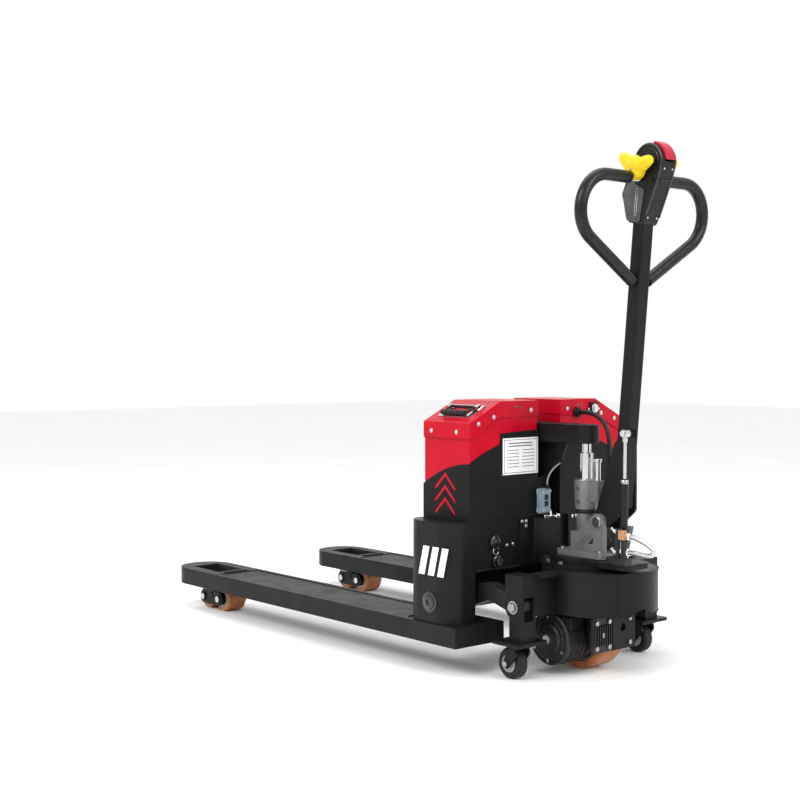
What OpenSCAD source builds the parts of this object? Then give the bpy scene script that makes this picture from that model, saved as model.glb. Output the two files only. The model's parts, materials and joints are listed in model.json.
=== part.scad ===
/* [Forks] */
// Fork length from the heel to the tip
fork_len = 1288; // [1100:1:1400]
// Width over both forks
overall_w = 685; // [640:1:760]
// Width of one fork
fork_w = 160; // [140:1:190]
// Height of the fork section
fork_h = 48; // [44:1:60]
// Height of the fork underside as parked
fork_z = 71; // [66:1:90]
// Thickness of the fork deck plate
deck_t = 8; // [6:0.5:10]
// Thickness of the fork side walls
fork_wall = 6; // [4:0.5:9]

/* [Load rollers] */
// Diameter of a load roller
roller_d = 74; // [66:1:76]
// Width of a load roller
roller_w = 60; // [44:1:64]
// Distance between the two rollers of a bogie
roller_gap = 79; // [77:1:90]
// Distance from the fork tip to the bogie pivot
bogie_set = 168; // [150:1:240]

/* [Lift frame] */
// Height of the lower frame box
box_h = 244; // [220:1:300]
// Depth of the lower frame box
box_d = 163; // [155:1:220]
// Radius of the frame box corners
box_r = 50; // [20:1:60]
// Plate thickness of the frame box
box_t = 6; // [4:0.5:9]
// Top height of the towers
tower_top = 651; // [600:1:760]
// Width over both towers
tower_w = 550; // [500:1:600]
// Gap between the towers
tower_gap = 80; // [76:1:110]
// Depth of a tower
tower_d = 166; // [150:1:200]
// Sheet thickness of the covers
sheet_t = 3; // [2:0.5:4]
// Travel of the forks above the parked height
lift_up = 81; // [60:1:90]
// Travel of the forks below the parked height
lift_down = 34; // [20:1:34]

/* [Power unit] */
// Distance from the fork heel to the steering axis
steer_x = 100; // [95:1:125]
// Diameter of the drive wheel
drive_d = 200; // [180:1:204]
// Width of the drive wheel
drive_w = 72; // [56:1:76]
// Outer radius of the wheel guard
guard_r = 140; // [136:1:160]
// Diameter of the lifting ram
ram_d = 34; // [26:1:38]
// Diameter of a stabiliser caster wheel
caster_d = 74; // [64:1:76]

/* [Tiller] */
// Lean of the tiller from the vertical
tiller_lean = 5; // [0:0.5:10]
// Length of the tiller from its pivot to the centre of the head
tiller_len = 855; // [700:1:900]
// Width of the tiller tube
tube_w = 40; // [36:1:44]
// Depth of the tiller tube
tube_d = 34; // [28:1:44]
// Diameter of the handle tube
loop_d = 29; // [22:1:32]
// Half width of the handle loops
loop_half = 232; // [200:1:260]

/* [Hidden] */

$fn = 64;
run = 0.05;        // running clearance of a pin in its bore
gap = 0.5;         // clearance between plates that pass each other

// forks
fork_y = (overall_w - fork_w) / 2;
fork_top = fork_z + fork_h;
deck_under = fork_top - deck_t;
fork_in = fork_w / 2 - fork_wall;
tip_r = fork_w / 2;

// load rollers, arms and rods
roller_z = roller_d / 2;
bogie_x = -fork_len + bogie_set;
bogie_z = roller_z + 8;
axle_r = 10;
arm_r = 7;
arm_len = 200;
arm_z = fork_z + 9;
arm_x = bogie_x + sqrt(pow(arm_len, 2) - pow(arm_z - bogie_z, 2));
arm_t = 6;
arm_y = roller_w / 2 + 1;
plate_y = arm_y + arm_t + 1;
horn = 20;
rod_r = 7;
horn_half = 5;
rod_y = horn_half + gap + rod_r;

// frame box
box_rear = -27;
box_front = box_rear - box_d;
box_half = overall_w / 2 - 6.5;
box_z = fork_top;
box_top = box_z + box_h;
torsion_x = -97;
torsion_z = fork_top + 51;
torsion_r = 25;
recess_half = box_half - 84;
recess_top = box_z + 124;

// towers
tower_rear = -25;
tower_front = tower_rear - tower_d;
tower_in = tower_gap / 2;
tower_out = tower_w / 2;
tower_seat = box_top + 0.3;
shoulder_y = tower_out - 103;
shoulder_z = tower_top - 51;
slope_a = atan2(tower_top - shoulder_z, tower_out - shoulder_y);
cap_h = 38;
cap_t = 2;
skin = cap_t + 0.3;

// base frame
post_y = overall_w / 2 - 97.5;
post_t = 8;
post_gap = 31;
post_x0 = steer_x - 33;
post_x1 = steer_x + 23;
post_top = 248;
bolt_x = steer_x - 6;
bolt_z = torsion_z + 2;
plate_z = 92;
plate_t = 8;
guard_x = steer_x + 45;
guard_t = 8;
guard_z0 = 150;
guard_z1 = 252;
caster_x = steer_x - 5;
caster_y = post_y - 18;
caster_trail = 18;
journal_r = 70;

// power unit
drive_r = drive_d / 2;
motor_r = 64;
shield_x = steer_x + drive_r + 3;
shield_z0 = 60;
shield_z1 = guard_z0 - 6;
motor_z = guard_z0 - 2 - motor_r;
table_z = guard_z1 + 0.4;
pump_z = table_z + 24;
flange_t = 14;
cyl_r = ram_d / 2 + 6.5;
collar_r = ram_d / 2 + 13;
collar_z0 = 388;
collar_z1 = 459;
ear_y0 = tube_w / 2 + 8;
ear_y1 = ear_y0 + 12;
pivot_x = steer_x + 71;
pivot_z = 364;
pin_r = 9;

// lift head and ram
head_z0 = 548;
head_z1 = 594;
head_half = 31;
ram_top = head_z0 - 0.3;
ram_neck_z = 525;
ram_foot = pump_z + flange_t + 2 + lift_down;
plunger_x = steer_x + 37;
plunger_r = 7.5;
plunger_top = head_z0 - lift_down - 2;

// tiller, in its own leaned frame with the pivot at the origin
tube_x = 41;
tube_z0 = 62;
grip_x = 63;
grip_r = 42;
grip_half = 24.5;
head_low = tiller_len - 144;
tiller_top = tiller_len - grip_r - 30;
throttle_x = 40;
throttle_z = tiller_len - 21;
thumb_hub_r = 24;
thumb_reach = 48;
thumb_tip_r = 9;
button_r = grip_r + 5;
button_play = 4.5;
stud_x = 74;
stud_z = 224;
gas_y = -(ear_y1 + 8.5);
gas_r = 9;
gas_x0 = steer_x + 162;
gas_z0 = 353;

// centre line of one handle loop in the plane of the tiller, [y, z]
loop_low = tiller_len - 276;
loop_top = tiller_len - 39;
bend_r = 78;
arc_y = -(loop_half - loop_d / 2 - bend_r);
arc_z = loop_top - bend_r;
foot = [-tube_w / 2 - loop_d / 4, loop_low];
reach = foot - [arc_y, arc_z];
tan_a = atan2(reach[1], reach[0]) - acos(bend_r / norm(reach));
touch = [arc_y, arc_z] + bend_r * [cos(tan_a), sin(tan_a)];

// gas spring, from its stud on the valve block to its stud on the tiller
gas_rod_r = 4;
gas_pin_r = 4;
eye_r = 8;
stud_wx = pivot_x + stud_x * cos(tiller_lean) + stud_z * sin(tiller_lean);
stud_wz = pivot_z - stud_x * sin(tiller_lean) + stud_z * cos(tiller_lean);
gas_len = norm([stud_wx - gas_x0, stud_wz - gas_z0]);
gas_a = atan2(stud_wx - gas_x0, stud_wz - gas_z0);
body_len = 122;

// overall length and the shift that centres it
rear_x = pivot_x + tiller_len * sin(tiller_lean) + grip_x * cos(tiller_lean) + button_r;
mid_x = (rear_x - fork_len) / 2;

// centre line of the control cable, from the gland to the plug that hangs behind the tiller
cable_r = 5.5;
cable_pts = [
    [-12, 100, 617], [10, 100, 618], [36, 98, 614], [61, 93, 605], [84, 85, 591],
    [103, 75, 572], [117, 65, 549], [125, 58, 525], [128, 56, 500], [128, 56, 488]
];
plug_len = 34;
plug_r = 9;
// centre line of the switch lead, from the switch up to the lift head
lead_r = 2;
lead_pts = [
    [-8, -24, 438], [-8, -24, 448], [-7, -21, 460], [-6, -14, 471],
    [-5, -4, 480], [-4, 6, 487], [-3, 16, 492]
];
// centre line of the hydraulic pipe loop
pipe_r = 6;
pipe_pts = [
    [steer_x + 196, -66, 343], [steer_x + 206, -66, 343], [steer_x + 226, -66, 338],
    [steer_x + 246, -66, 331], [steer_x + 261, -65, 322], [steer_x + 264, -64, 313],
    [steer_x + 255, -64, 306], [steer_x + 236, -65, 305], [steer_x + 212, -66, 307],
    [steer_x + 202, -66, 307], [steer_x + 192, -66, 307]
];

module place() translate([-mid_x, 0, 0]) children();

// box between two corners
module block(a, b) translate(a) cube(b - a);

// upright box with round vertical edges
module pillar(a, b, r) {
    block([a[0] + r, a[1], a[2]], [b[0] - r, b[1], b[2]]);
    block([a[0], a[1] + r, a[2]], [b[0], b[1] - r, b[2]]);
    for (x = [a[0] + r, b[0] - r], y = [a[1] + r, b[1] - r])
        translate([x, y, a[2]]) cylinder(r = r, h = b[2] - a[2]);
}

// round bar along Y
module bar_y(x, z, r, y0, y1) translate([x, y1, z]) rotate([90, 0, 0]) cylinder(r = r, h = y1 - y0);

// round bar along X
module bar_x(x0, x1, y, z, r) translate([x0, y, z]) rotate([0, 90, 0]) cylinder(r = r, h = x1 - x0);

// plate in the XZ plane from y0 to y1
module plate_y(y0, y1) translate([0, y1, 0]) rotate([90, 0, 0]) linear_extrude(y1 - y0) children();

// flat bar with round ends
module link_2d(a, b, ra, rb) hull() {
    translate(a) circle(r = ra, $fn = 32);
    translate(b) circle(r = rb, $fn = 32);
}

// chain of round-ended bars through a list of [x, z, r]
module chain_2d(p) for (i = [0 : len(p) - 2])
    link_2d([p[i][0], p[i][1]], [p[i + 1][0], p[i + 1][1]], p[i][2], p[i + 1][2]);

module mirrored_y() {
    children();
    mirror([0, 1, 0]) children();
}

// tube swept along a list of points
function unit(v) = v / norm(v);
function tangent(p, i) = unit(p[min(i + 1, len(p) - 1)] - p[max(i - 1, 0)]);
function side(p, i) =
    let (t = tangent(p, i), s = abs(t[2]) < 0.95 ? [0, 0, 1] : [1, 0, 0]) unit(cross(t, s));
function turned(v, t) = unit(v - t * (v * t));
function frames(p, i = 0, v = undef) =
    let (t = tangent(p, i), u = v == undef ? side(p, i) : turned(v, t))
    i == len(p) - 1 ? [[u, cross(t, u)]] : concat([[u, cross(t, u)]], frames(p, i + 1, u));
module sweep(p, r, n = 10) {
    f = frames(p);
    rings = [for (i = [0 : len(p) - 1], k = [0 : n - 1])
        p[i] + r * (cos(360 * k / n) * f[i][0] + sin(360 * k / n) * f[i][1])];
    walls = [for (i = [0 : len(p) - 2], k = [0 : n - 1])
        [i * n + k, (i + 1) * n + k, (i + 1) * n + (k + 1) % n, i * n + (k + 1) % n]];
    polyhedron(rings, concat(walls, [[for (k = [0 : n - 1]) k]],
        [[for (k = [n - 1 : -1 : 0]) (len(p) - 1) * n + k]]));
}
function mid_curve(a, b, c, d, t) = 0.5 * (2 * b + (c - a) * t + (2 * a - 5 * b + 4 * c - d) * t * t
    + (3 * b - a - 3 * c + d) * t * t * t);
function smooth_route(p, n) = concat([for (i = [0 : len(p) - 2], k = [0 : n - 1])
    mid_curve(p[max(i - 1, 0)], p[i], p[i + 1], p[min(i + 2, len(p) - 1)], k / n)], [p[len(p) - 1]]);

// ---------------------------------------------------------------- forks

// deck outline with its round tip
module deck_2d(inset = 0) {
    translate([-fork_len + tip_r, 0]) circle(r = tip_r - inset);
    translate([-fork_len + tip_r, -fork_w / 2 + inset]) square([fork_len - tip_r, fork_w - 2 * inset]);
}

module fork() difference() {
    translate([0, 0, fork_z]) linear_extrude(fork_h) deck_2d();
    // open channel underneath
    translate([0, 0, fork_z - 1]) linear_extrude(fork_h - deck_t + 1)
        intersection() {
            deck_2d(fork_wall);
            translate([-fork_len, -fork_w]) square([fork_len - 10, 2 * fork_w]);
        }
    // raised rim left around the recessed centre panel
    block([-fork_len + 250, -fork_w / 2 + 14, fork_top - 2], [-210, fork_w / 2 - 14, fork_top + 1]);
    // opening over the rollers and the slot behind it
    block([-fork_len + 66, -42.5, deck_under - 1], [bogie_x + 42, 42.5, fork_top + 1]);
    block([bogie_x + 56, -42.5, deck_under - 1], [bogie_x + 78, 42.5, fork_top + 1]);
    // lead-in under the tip
    translate([-fork_len, 0, fork_z]) rotate([0, 45, 0]) cube([46, fork_w + 2, 46], center = true);
    // slot for the torsion lever
    block([torsion_x - 52, -horn_half - 22, deck_under - 1],
        [torsion_x + 36, horn_half + 5, fork_top + 1]);
    // bore of the roller arm pin
    bar_y(arm_x, arm_z, arm_r + run, -fork_w, fork_w);
}
module fork_left() color("dimgray") translate([0, -fork_y, 0]) fork();
module fork_right() color("dimgray") translate([0, fork_y, 0]) mirror([0, 1, 0]) fork();

// -------------------------------------------------- load rollers, arms, rods

module roller_arm() difference() {
    union() {
        for (s = [-1, 1]) plate_y(s > 0 ? arm_y : -arm_y - arm_t, s > 0 ? arm_y + arm_t : -arm_y)
            chain_2d([[arm_x, arm_z, 12], [bogie_x + 32, bogie_z + 22, 9], [bogie_x, bogie_z, 14]]);
        bar_y(arm_x, arm_z, 10, -arm_y - 1, arm_y + 1);
        bar_y(arm_x, arm_z, arm_r, -fork_w / 2, fork_w / 2);
        plate_y(-horn_half, horn_half) link_2d([arm_x, arm_z], [arm_x, arm_z + horn], 12, 8);
        bar_y(arm_x, arm_z + horn, 3, 0, rod_y + rod_r);
    }
    bar_y(bogie_x, bogie_z, axle_r - 1 + run, -fork_w, fork_w);
}
module roller_arm_left() color("#222222") translate([0, -fork_y, 0]) roller_arm();
module roller_arm_right() color("#222222") translate([0, fork_y, 0]) roller_arm();

module bogie() {
    for (s = [0, 1]) mirror([0, s, 0]) {
        plate_y(plate_y, plate_y + arm_t) link_2d([bogie_x - roller_gap / 2, roller_z],
            [bogie_x + roller_gap / 2, roller_z], 20, 20);
        plate_y(plate_y, plate_y + arm_t) link_2d([bogie_x, bogie_z], [bogie_x, bogie_z + 1], 17, 17);
    }
    for (m = [0, 1]) mirror([0, m, 0]) bar_y(bogie_x, bogie_z, axle_r - 1, arm_y, plate_y + arm_t + 2);
    for (s = [-1, 1]) {
        bar_y(bogie_x + s * roller_gap / 2, roller_z, axle_r, -plate_y - arm_t, plate_y + arm_t);
        for (m = [0, 1]) mirror([0, m, 0])
            bar_y(bogie_x + s * roller_gap / 2, roller_z, 13, plate_y + arm_t, plate_y + arm_t + 3);
    }
}
module bogie_left() color("#1c1c1c") translate([0, -fork_y, 0]) bogie();
module bogie_right() color("#1c1c1c") translate([0, fork_y, 0]) bogie();

module load_roller(s, y) translate([bogie_x + s * roller_gap / 2, y, roller_z]) rotate([90, 0, 0])
    rotate_extrude() polygon([
        [axle_r + run, -roller_w / 2], [roller_z - 3, -roller_w / 2], [roller_z, -roller_w / 2 + 3],
        [roller_z, roller_w / 2 - 3], [roller_z - 3, roller_w / 2], [axle_r + run, roller_w / 2]]);
module load_roller_1() color("#a9602c") load_roller(-1, -fork_y);
module load_roller_2() color("#a9602c") load_roller(1, -fork_y);
module load_roller_3() color("#a9602c") load_roller(-1, fork_y);
module load_roller_4() color("#a9602c") load_roller(1, fork_y);

module push_rod() {
    difference() {
        union() {
            bar_x(arm_x + 14, torsion_x + 24, rod_y, arm_z + horn, rod_r);
            plate_y(rod_y - rod_r, rod_y + rod_r)
                link_2d([arm_x, arm_z + horn], [arm_x + 30, arm_z + horn], 9, 9);
        }
        bar_y(arm_x, arm_z + horn, 5.5, -fork_w, fork_w);
    }
}
module push_rods() color("#303030") {
    translate([0, -fork_y, 0]) push_rod();
    translate([0, fork_y, 0]) push_rod();
}

// ---------------------------------------------------------------- lift frame

module frame_box() color("#2c2d2f") {
    difference() {
        pillar([box_front, -box_half, box_z], [box_rear, box_half, box_top], box_r);
        pillar([box_front + box_t, -box_half + box_t, box_z - 1],
            [box_rear - box_t, box_half - box_t, box_top - box_t], box_r - box_t);
        // rear opening for the rocker arms
        block([box_rear - box_r, -recess_half, box_z - 1], [box_rear + 1, recess_half, recess_top]);
        for (s = [-1, 1]) bar_y(torsion_x, torsion_z, 12 + run, s > 0 ? 0 : -box_half - 1,
            s > 0 ? box_half + 1 : 0);
    }
    // spine between the towers that carries the lift head
    difference() {
        block([-170, -tower_in + 1, box_top - 1], [-60, tower_in - 1, head_z1]);
        block([-164, -tower_in + 7, box_top], [-66, tower_in - 7, head_z1 - 6]);
    }
    // bent door plate on the rear face
    for (s = [-1, 1]) block([box_rear, s > 0 ? 64 : -104, recess_top + 8],
        [box_rear + 3, s > 0 ? 104 : -64, box_top - 4]);
}

// side outline of a tower in the YZ plane, near side
module tower_2d(d = 0, drop = 0) polygon([
    [-tower_out + d, tower_seat - drop], [-tower_in - d, tower_seat - drop],
    [-tower_in - d, tower_top - d], [-shoulder_y - d * 0.3, tower_top - d],
    [-tower_out + d, shoulder_z - d]]);

module tower_solid(d, x0, x1, drop = 0) translate([x0, 0, 0]) rotate([90, 0, 90])
    linear_extrude(x1 - x0) tower_2d(d, drop);

// lower edge of the cap skirt follows the roof
module cap_zone(drop) translate([tower_front - 5, 0, 0]) rotate([90, 0, 90])
    linear_extrude(tower_d + 10) polygon([
        [-tower_out - 9, shoulder_z - drop - 4.5], [-shoulder_y, tower_top - drop],
        [-tower_in + 9, tower_top - drop], [-tower_in + 9, tower_top + 9], [-tower_out - 9, tower_top + 9]]);

module tower_cover() difference() {
    tower_solid(skin, tower_front + skin, tower_rear - skin);
    tower_solid(skin + sheet_t, tower_front + skin + sheet_t, tower_rear - skin - sheet_t, 10);
}
module tower_cap() intersection() {
    difference() {
        tower_solid(0, tower_front, tower_rear);
        tower_solid(cap_t, tower_front + cap_t, tower_rear - cap_t, 10);
    }
    cap_zone(cap_h);
}
// upper edge of the side panel: one sweep down to the front
module wrap_side_2d() polygon(concat([[tower_front, tower_seat], [tower_rear, tower_seat]],
    [for (i = [0 : 12]) let (t = i / 12) [tower_rear - t * tower_d, 502 - 56 * pow(t, 1.9)]]));
// upper edge of the rear panel: a sweep up, then a step behind the data plate
module wrap_rear_2d() polygon(concat(
    [[-tower_out, tower_seat], [-tower_in, tower_seat], [-tower_in, 578], [-shoulder_y + 2, 572]],
    [for (i = [0 : 8]) let (t = i / 8) [-shoulder_y - t * 103, 545 - 43 * (0.6 * t + 0.4 * t * t)]]));
module chevron_2d(z) translate([tower_rear - 0.5 * tower_d - 4, z]) for (s = [-1, 1])
    polygon([[0, 0], [0, 11], [s * 37, -26], [s * 37, -37]]);
module tower_wrap() {
    difference() {
        plate_y(-tower_out, -tower_out + cap_t) wrap_side_2d();
        translate([0, -tower_out + 20, 0]) rotate([90, 0, 0]) linear_extrude(60)
            for (z = [0 : 2]) chevron_2d(408 + z * 30);
    }
    translate([tower_rear - cap_t, 0, 0]) rotate([90, 0, 90]) linear_extrude(cap_t) wrap_rear_2d();
    block([tower_front, -tower_out, tower_seat], [tower_front + cap_t, -tower_in, 446]);
    block([tower_front, -tower_in - cap_t, tower_seat], [tower_rear, -tower_in, 578]);
}
module across() mirror([0, 1, 0]) children();
module tower_cover_left() color("#c8102e") tower_cover();
module tower_cover_right() color("#c8102e") across() tower_cover();
module tower_wrap_left() color("#2a2b2c") tower_wrap();
module tower_wrap_right() color("#2a2b2c") across() tower_wrap();
module tower_cap_left() color("#d0142f") tower_cap();
module tower_cap_right() color("#d0142f") across() tower_cap();

// pan head screw standing out of a face
module screw_x(x, y, z) bar_x(x, x + 3, y, z, 6.5);
module screw_y(x, y, z) bar_y(x, z, 6.5, y - 3, y);
module cover_screws() color("silver") mirrored_y() {
    screw_x(tower_rear, -tower_out + 30, shoulder_z - 2);
    screw_x(tower_rear, -tower_in - 26, tower_top - 24);
    screw_x(tower_rear, -shoulder_y - 22, tower_top - 38);
    for (x = [tower_front + 30, tower_rear - 45]) screw_y(x, -tower_out, shoulder_z - 22);
}

module lift_head() color("#2b2c2e") {
    // nose above the ram, welded to the spine
    block([-59.7, -head_half, head_z0], [steer_x, head_half, head_z1]);
    translate([steer_x, 0, head_z0]) cylinder(r = head_half, h = head_z1 - head_z0);
    // gusset below
    plate_y(-4, 4) polygon([[-59.7, head_z0], [40, head_z0], [18, head_z0 - 46], [-59.7, head_z0 - 96]]);
}
module data_plate() color("#e8e8e4")
    block([tower_rear + 0.3, -164, 470], [tower_rear + 1.8, -tower_in - 2, 560]);

// frame of the sloped roof: origin at the middle of the near slope
module on_slope()
    translate([tower_rear - tower_d / 2, (-shoulder_y - tower_out) / 2, (tower_top + shoulder_z) / 2])
    rotate([slope_a, 0, 0]) children();
module grip_plate() color("silver") on_slope() {
    difference() {
        translate([-58, -30, 0.3]) cube([116, 60, 2]);
        translate([-40, -14, -1]) cube([80, 30, 5]);
    }
    for (s = [-1, 1]) translate([s * 50 - 5, 5, 2.2]) difference() {
        cube([10, 14, 9]);
        translate([-1, 7, 5]) rotate([0, 90, 0]) cylinder(r = 3 + run, h = 12);
    }
}
module grip_bail() color("#161616") on_slope() {
    translate([-56, 12, 7.2]) rotate([0, 90, 0]) cylinder(r = 3, h = 112);
    for (s = [-1, 1]) translate([s * 41, 12, 7.2]) rotate([86, 0, 0]) cylinder(r = 3, h = 36);
    translate([-42, -24, 9.7]) rotate([0, 90, 0]) cylinder(r = 6.5, h = 84);
}
module charge_socket() color("#171717") {
    block([tower_rear + 0.3, 148, 610], [tower_rear + 8, 176, 642]);
    for (s = [-1, 1]) bar_x(tower_rear + 0.3, tower_rear + 3, 162 + s * 19, 624, 4.5);
}
module cable_gland() color("#141414") difference() {
    union() {
        bar_x(tower_rear + 0.3, tower_rear + 6, 100, 617, 15);
        bar_x(tower_rear + 6, tower_rear + 13, 100, 617, 9);
    }
    bar_x(tower_rear + 8, tower_rear + 14, 100, 617, cable_r);
}
module control_cable() color("#1a1a1a") {
    plug = cable_pts[len(cable_pts) - 1];
    sweep(smooth_route(cable_pts, 4), cable_r, 10);
    translate([plug[0], plug[1], plug[2] - plug_len]) cylinder(r = plug_r, h = plug_len);
}

module limit_switch() color("#8fa3b5") {
    block([tower_rear + 3, -48, 369], [tower_rear + 21, -14, 431]);
    // gland that the lead leaves from
    translate([lead_pts[0][0], lead_pts[0][1], 431]) cylinder(r = 2 * lead_r, h = 7);
}
module switch_cable() color("#c9ccd0") sweep(smooth_route(lead_pts, 3), lead_r, 8);
module frame_fittings() color("#222222") {
    // bracket that carries the switch
    block([tower_rear + 0.3, -62, 372], [tower_rear + 2.7, -42, 426]);
    // roller of the switch arm, plug, cap, two screws on the rear plate
    bar_x(box_rear + 0.3, box_rear + 12, -192, 310, 15);
    bar_x(box_rear + 0.3, box_rear + 18, -184, 262, 11);
    for (y = [-150, -128]) bar_x(box_rear + 0.3, box_rear + 8, y, 298, 7);
    // nuts of the torsion shaft
    for (s = [-1, 1]) bar_y(torsion_x, torsion_z, 22, s > 0 ? box_half + 0.3 : -box_half - 6,
        s > 0 ? box_half + 6 : -box_half - 0.3);
}
module ram_rod() color("#d5d7da") {
    translate([steer_x, 0, ram_foot]) cylinder(r = ram_d / 2, h = ram_neck_z - ram_foot);
    translate([steer_x, 0, ram_neck_z]) cylinder(r = ram_d / 2 - 5, h = ram_top - ram_neck_z);
}
module battery() color("#3d3d45") block([tower_front + 14, -tower_out + 22, tower_seat],
    [tower_rear - 14, -tower_in - 14, shoulder_z - 40]);
module controller() color("#8a8d90") block([tower_front + 20, tower_in + 16, tower_seat],
    [tower_rear - 20, tower_out - 40, shoulder_z - 60]);

// ------------------------------------------------------------- torsion tube

module torsion_tube() color("#3a3b3d") {
    bar_y(torsion_x, torsion_z, torsion_r, -box_half + box_t + gap, box_half - box_t - gap);
    bar_y(torsion_x, torsion_z, 12, -box_half, box_half);
    for (s = [-1, 1]) {
        plate_y(s * (post_y - post_t - gap - (post_gap - 2 * gap) / 2) - (post_gap - 2 * gap) / 2,
            s * (post_y - post_t - gap - (post_gap - 2 * gap) / 2) + (post_gap - 2 * gap) / 2)
            chain_2d([[torsion_x, torsion_z, 30], [0, torsion_z + 28, 20], [bolt_x, bolt_z, 20]]);
        plate_y(s * fork_y - horn_half, s * fork_y + horn_half)
            link_2d([torsion_x, torsion_z], [torsion_x, arm_z + horn], 24, 11);
    }
}

// --------------------------------------------------------------- base frame

module caster_post() {
    // outer plate with its round nose
    plate_y(-post_y, -post_y + post_t) hull() {
        translate([post_x0, bolt_z + 20]) square([post_x1 - post_x0, post_top - bolt_z - 20]);
        translate([post_x0 + 28, bolt_z]) circle(r = 28, $fn = 32);
    }
    block([post_x0 + 14, -post_y, plate_z], [post_x1, -post_y + post_t, bolt_z]);
    // inner plate, top and back
    block([post_x0, -post_y + post_t + post_gap, plate_z],
        [post_x1, -post_y + 2 * post_t + post_gap, post_top]);
    block([post_x0, -post_y, post_top - post_t], [post_x1, -post_y + 2 * post_t + post_gap, post_top]);
    block([post_x1 - 6, -post_y, bolt_z + 24], [post_x1, -post_y + 2 * post_t + post_gap, post_top]);
    block([post_x1 - 6, -post_y, plate_z], [post_x1, -post_y + 2 * post_t + post_gap, bolt_z - 32]);
    // foot plate that carries the caster
    pillar([caster_x - 48, -caster_y - 44, plate_z - plate_t], [caster_x + 42, -caster_y + 56, plate_z], 6);
    // web from the post to the guard
    block([post_x1 - 10, -post_y + 2 * post_t + post_gap - 1, guard_z0], [post_x1, -guard_r + 4, guard_z1]);
    block([post_x1 - 10, -post_y + post_t + post_gap, guard_z1 - 10], [guard_x, -guard_r + 12, guard_z1]);
}
module base_frame() color("#28292b") difference() {
    union() {
        mirrored_y() caster_post();
        // curved guard round the drive wheel, open towards the forks
        translate([guard_x, 0, guard_z0]) difference() {
            cylinder(r = guard_r, h = guard_z1 - guard_z0, $fn = 128);
            translate([0, 0, -1]) cylinder(r = guard_r - guard_t, h = guard_z1 - guard_z0 - 9, $fn = 128);
        }
    }
    // bearing bore, rear cut and the arch over the wheel
    translate([steer_x, 0, guard_z0 - 10]) cylinder(r = journal_r + run, h = 200);
    block([guard_x - guard_r - 1, -guard_r + 34, guard_z0 - 10], [steer_x - 78, guard_r - 34, guard_z1 + 1]);
    block([guard_x - guard_r - 1, -guard_r - 1, guard_z0 - 10], [post_x1 - 10, guard_r + 1, guard_z1 - 11]);
    bar_x(guard_x + 40, guard_x + guard_r + 10, 0, guard_z0 - 44, 60);
    mirrored_y() bar_y(bolt_x, bolt_z, 12 + run, -post_y - 1, -post_y + post_t + 0.1);
    mirrored_y() translate([caster_x, -caster_y, plate_z - plate_t - 1])
        cylinder(r = 8 + run, h = plate_t + 2);
}
module pivot_bolts() color("#b9bbbd") mirrored_y() {
    bar_y(bolt_x, bolt_z, 12, -post_y, -post_y + post_t);
    translate([bolt_x, -post_y - 0.3, bolt_z]) rotate([90, 0, 0]) cylinder(r = 17, h = 8, $fn = 6);
}
module caster_fork() {
    translate([0, 0, plate_z - plate_t - 5.3]) cylinder(r = 26, h = 5);
    swivel_pin();
    for (s = [-1, 1]) plate_y(s > 0 ? 19 : -25, s > 0 ? 25 : -19)
        link_2d([0, plate_z - plate_t - 20], [-caster_trail, caster_d / 2], 14, 11);
    block([-16, -25, plate_z - plate_t - 9.3], [16, 25, plate_z - plate_t - 5.3]);
    bar_y(-caster_trail, caster_d / 2, 5, -27, 27);
}
module swivel_pin() translate([0, 0, plate_z - plate_t - 6]) cylinder(r = 8, h = plate_t + 12);
module caster_wheel() translate([-caster_trail, 15, caster_d / 2]) rotate([90, 0, 0]) rotate_extrude()
    polygon([[5 + run, 0], [caster_d / 2 - 4, 0], [caster_d / 2, 5], [caster_d / 2, 25],
        [caster_d / 2 - 4, 30], [5 + run, 30]]);
module caster_fork_left() color("#1d1d1d") translate([caster_x, -caster_y, 0]) caster_fork();
module caster_fork_right() color("#1d1d1d") translate([caster_x, caster_y, 0]) caster_fork();
module caster_wheel_left() color("#303030") translate([caster_x, -caster_y, 0]) caster_wheel();
module caster_wheel_right() color("#303030") translate([caster_x, caster_y, 0]) caster_wheel();

// --------------------------------------------------------------- steer unit

module turntable() color("#1b1b1c") {
    translate([steer_x, 0, drive_d + 6]) cylinder(r = journal_r, h = table_z - drive_d - 6);
    translate([steer_x, 0, table_z]) cylinder(r = 112, h = 10);
    translate([steer_x, 0, table_z + 10]) cylinder(r = 84, h = pump_z - table_z - 10);
    translate([steer_x, -70, table_z + 9]) pillar([0, 0, 0], [184, 100, pump_z - table_z - 11], 24);
}
module pump_ear() plate_y(-ear_y1, -ear_y0) difference() {
    union() {
        link_2d([steer_x + 8, pump_z + 30], [pivot_x, pivot_z], 22, 20);
        translate([pivot_x - 12, pump_z + flange_t - 1]) square([32, pivot_z - pump_z - flange_t]);
        translate([steer_x - 14, pump_z + flange_t - 1]) square([pivot_x - steer_x + 30, 20]);
        translate([steer_x - 14, pump_z + flange_t - 1]) square([36, 46]);
    }
    translate([pivot_x, pivot_z]) circle(r = pin_r + run);
}
module pump_body() color("#8b8d8f") difference() {
    union() {
        translate([steer_x, 0, pump_z]) cylinder(r = cyl_r, h = collar_z0 - pump_z - 0.3);
        pillar([steer_x - 52, -54, pump_z], [pivot_x + 26, 54, pump_z + flange_t], 12);
        mirrored_y() pump_ear();
    }
    translate([steer_x, 0, pump_z + flange_t]) cylinder(r = ram_d / 2 + run, h = 300);
    bar_y(pivot_x, pivot_z, pin_r + run, -80, 80);
}
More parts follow.
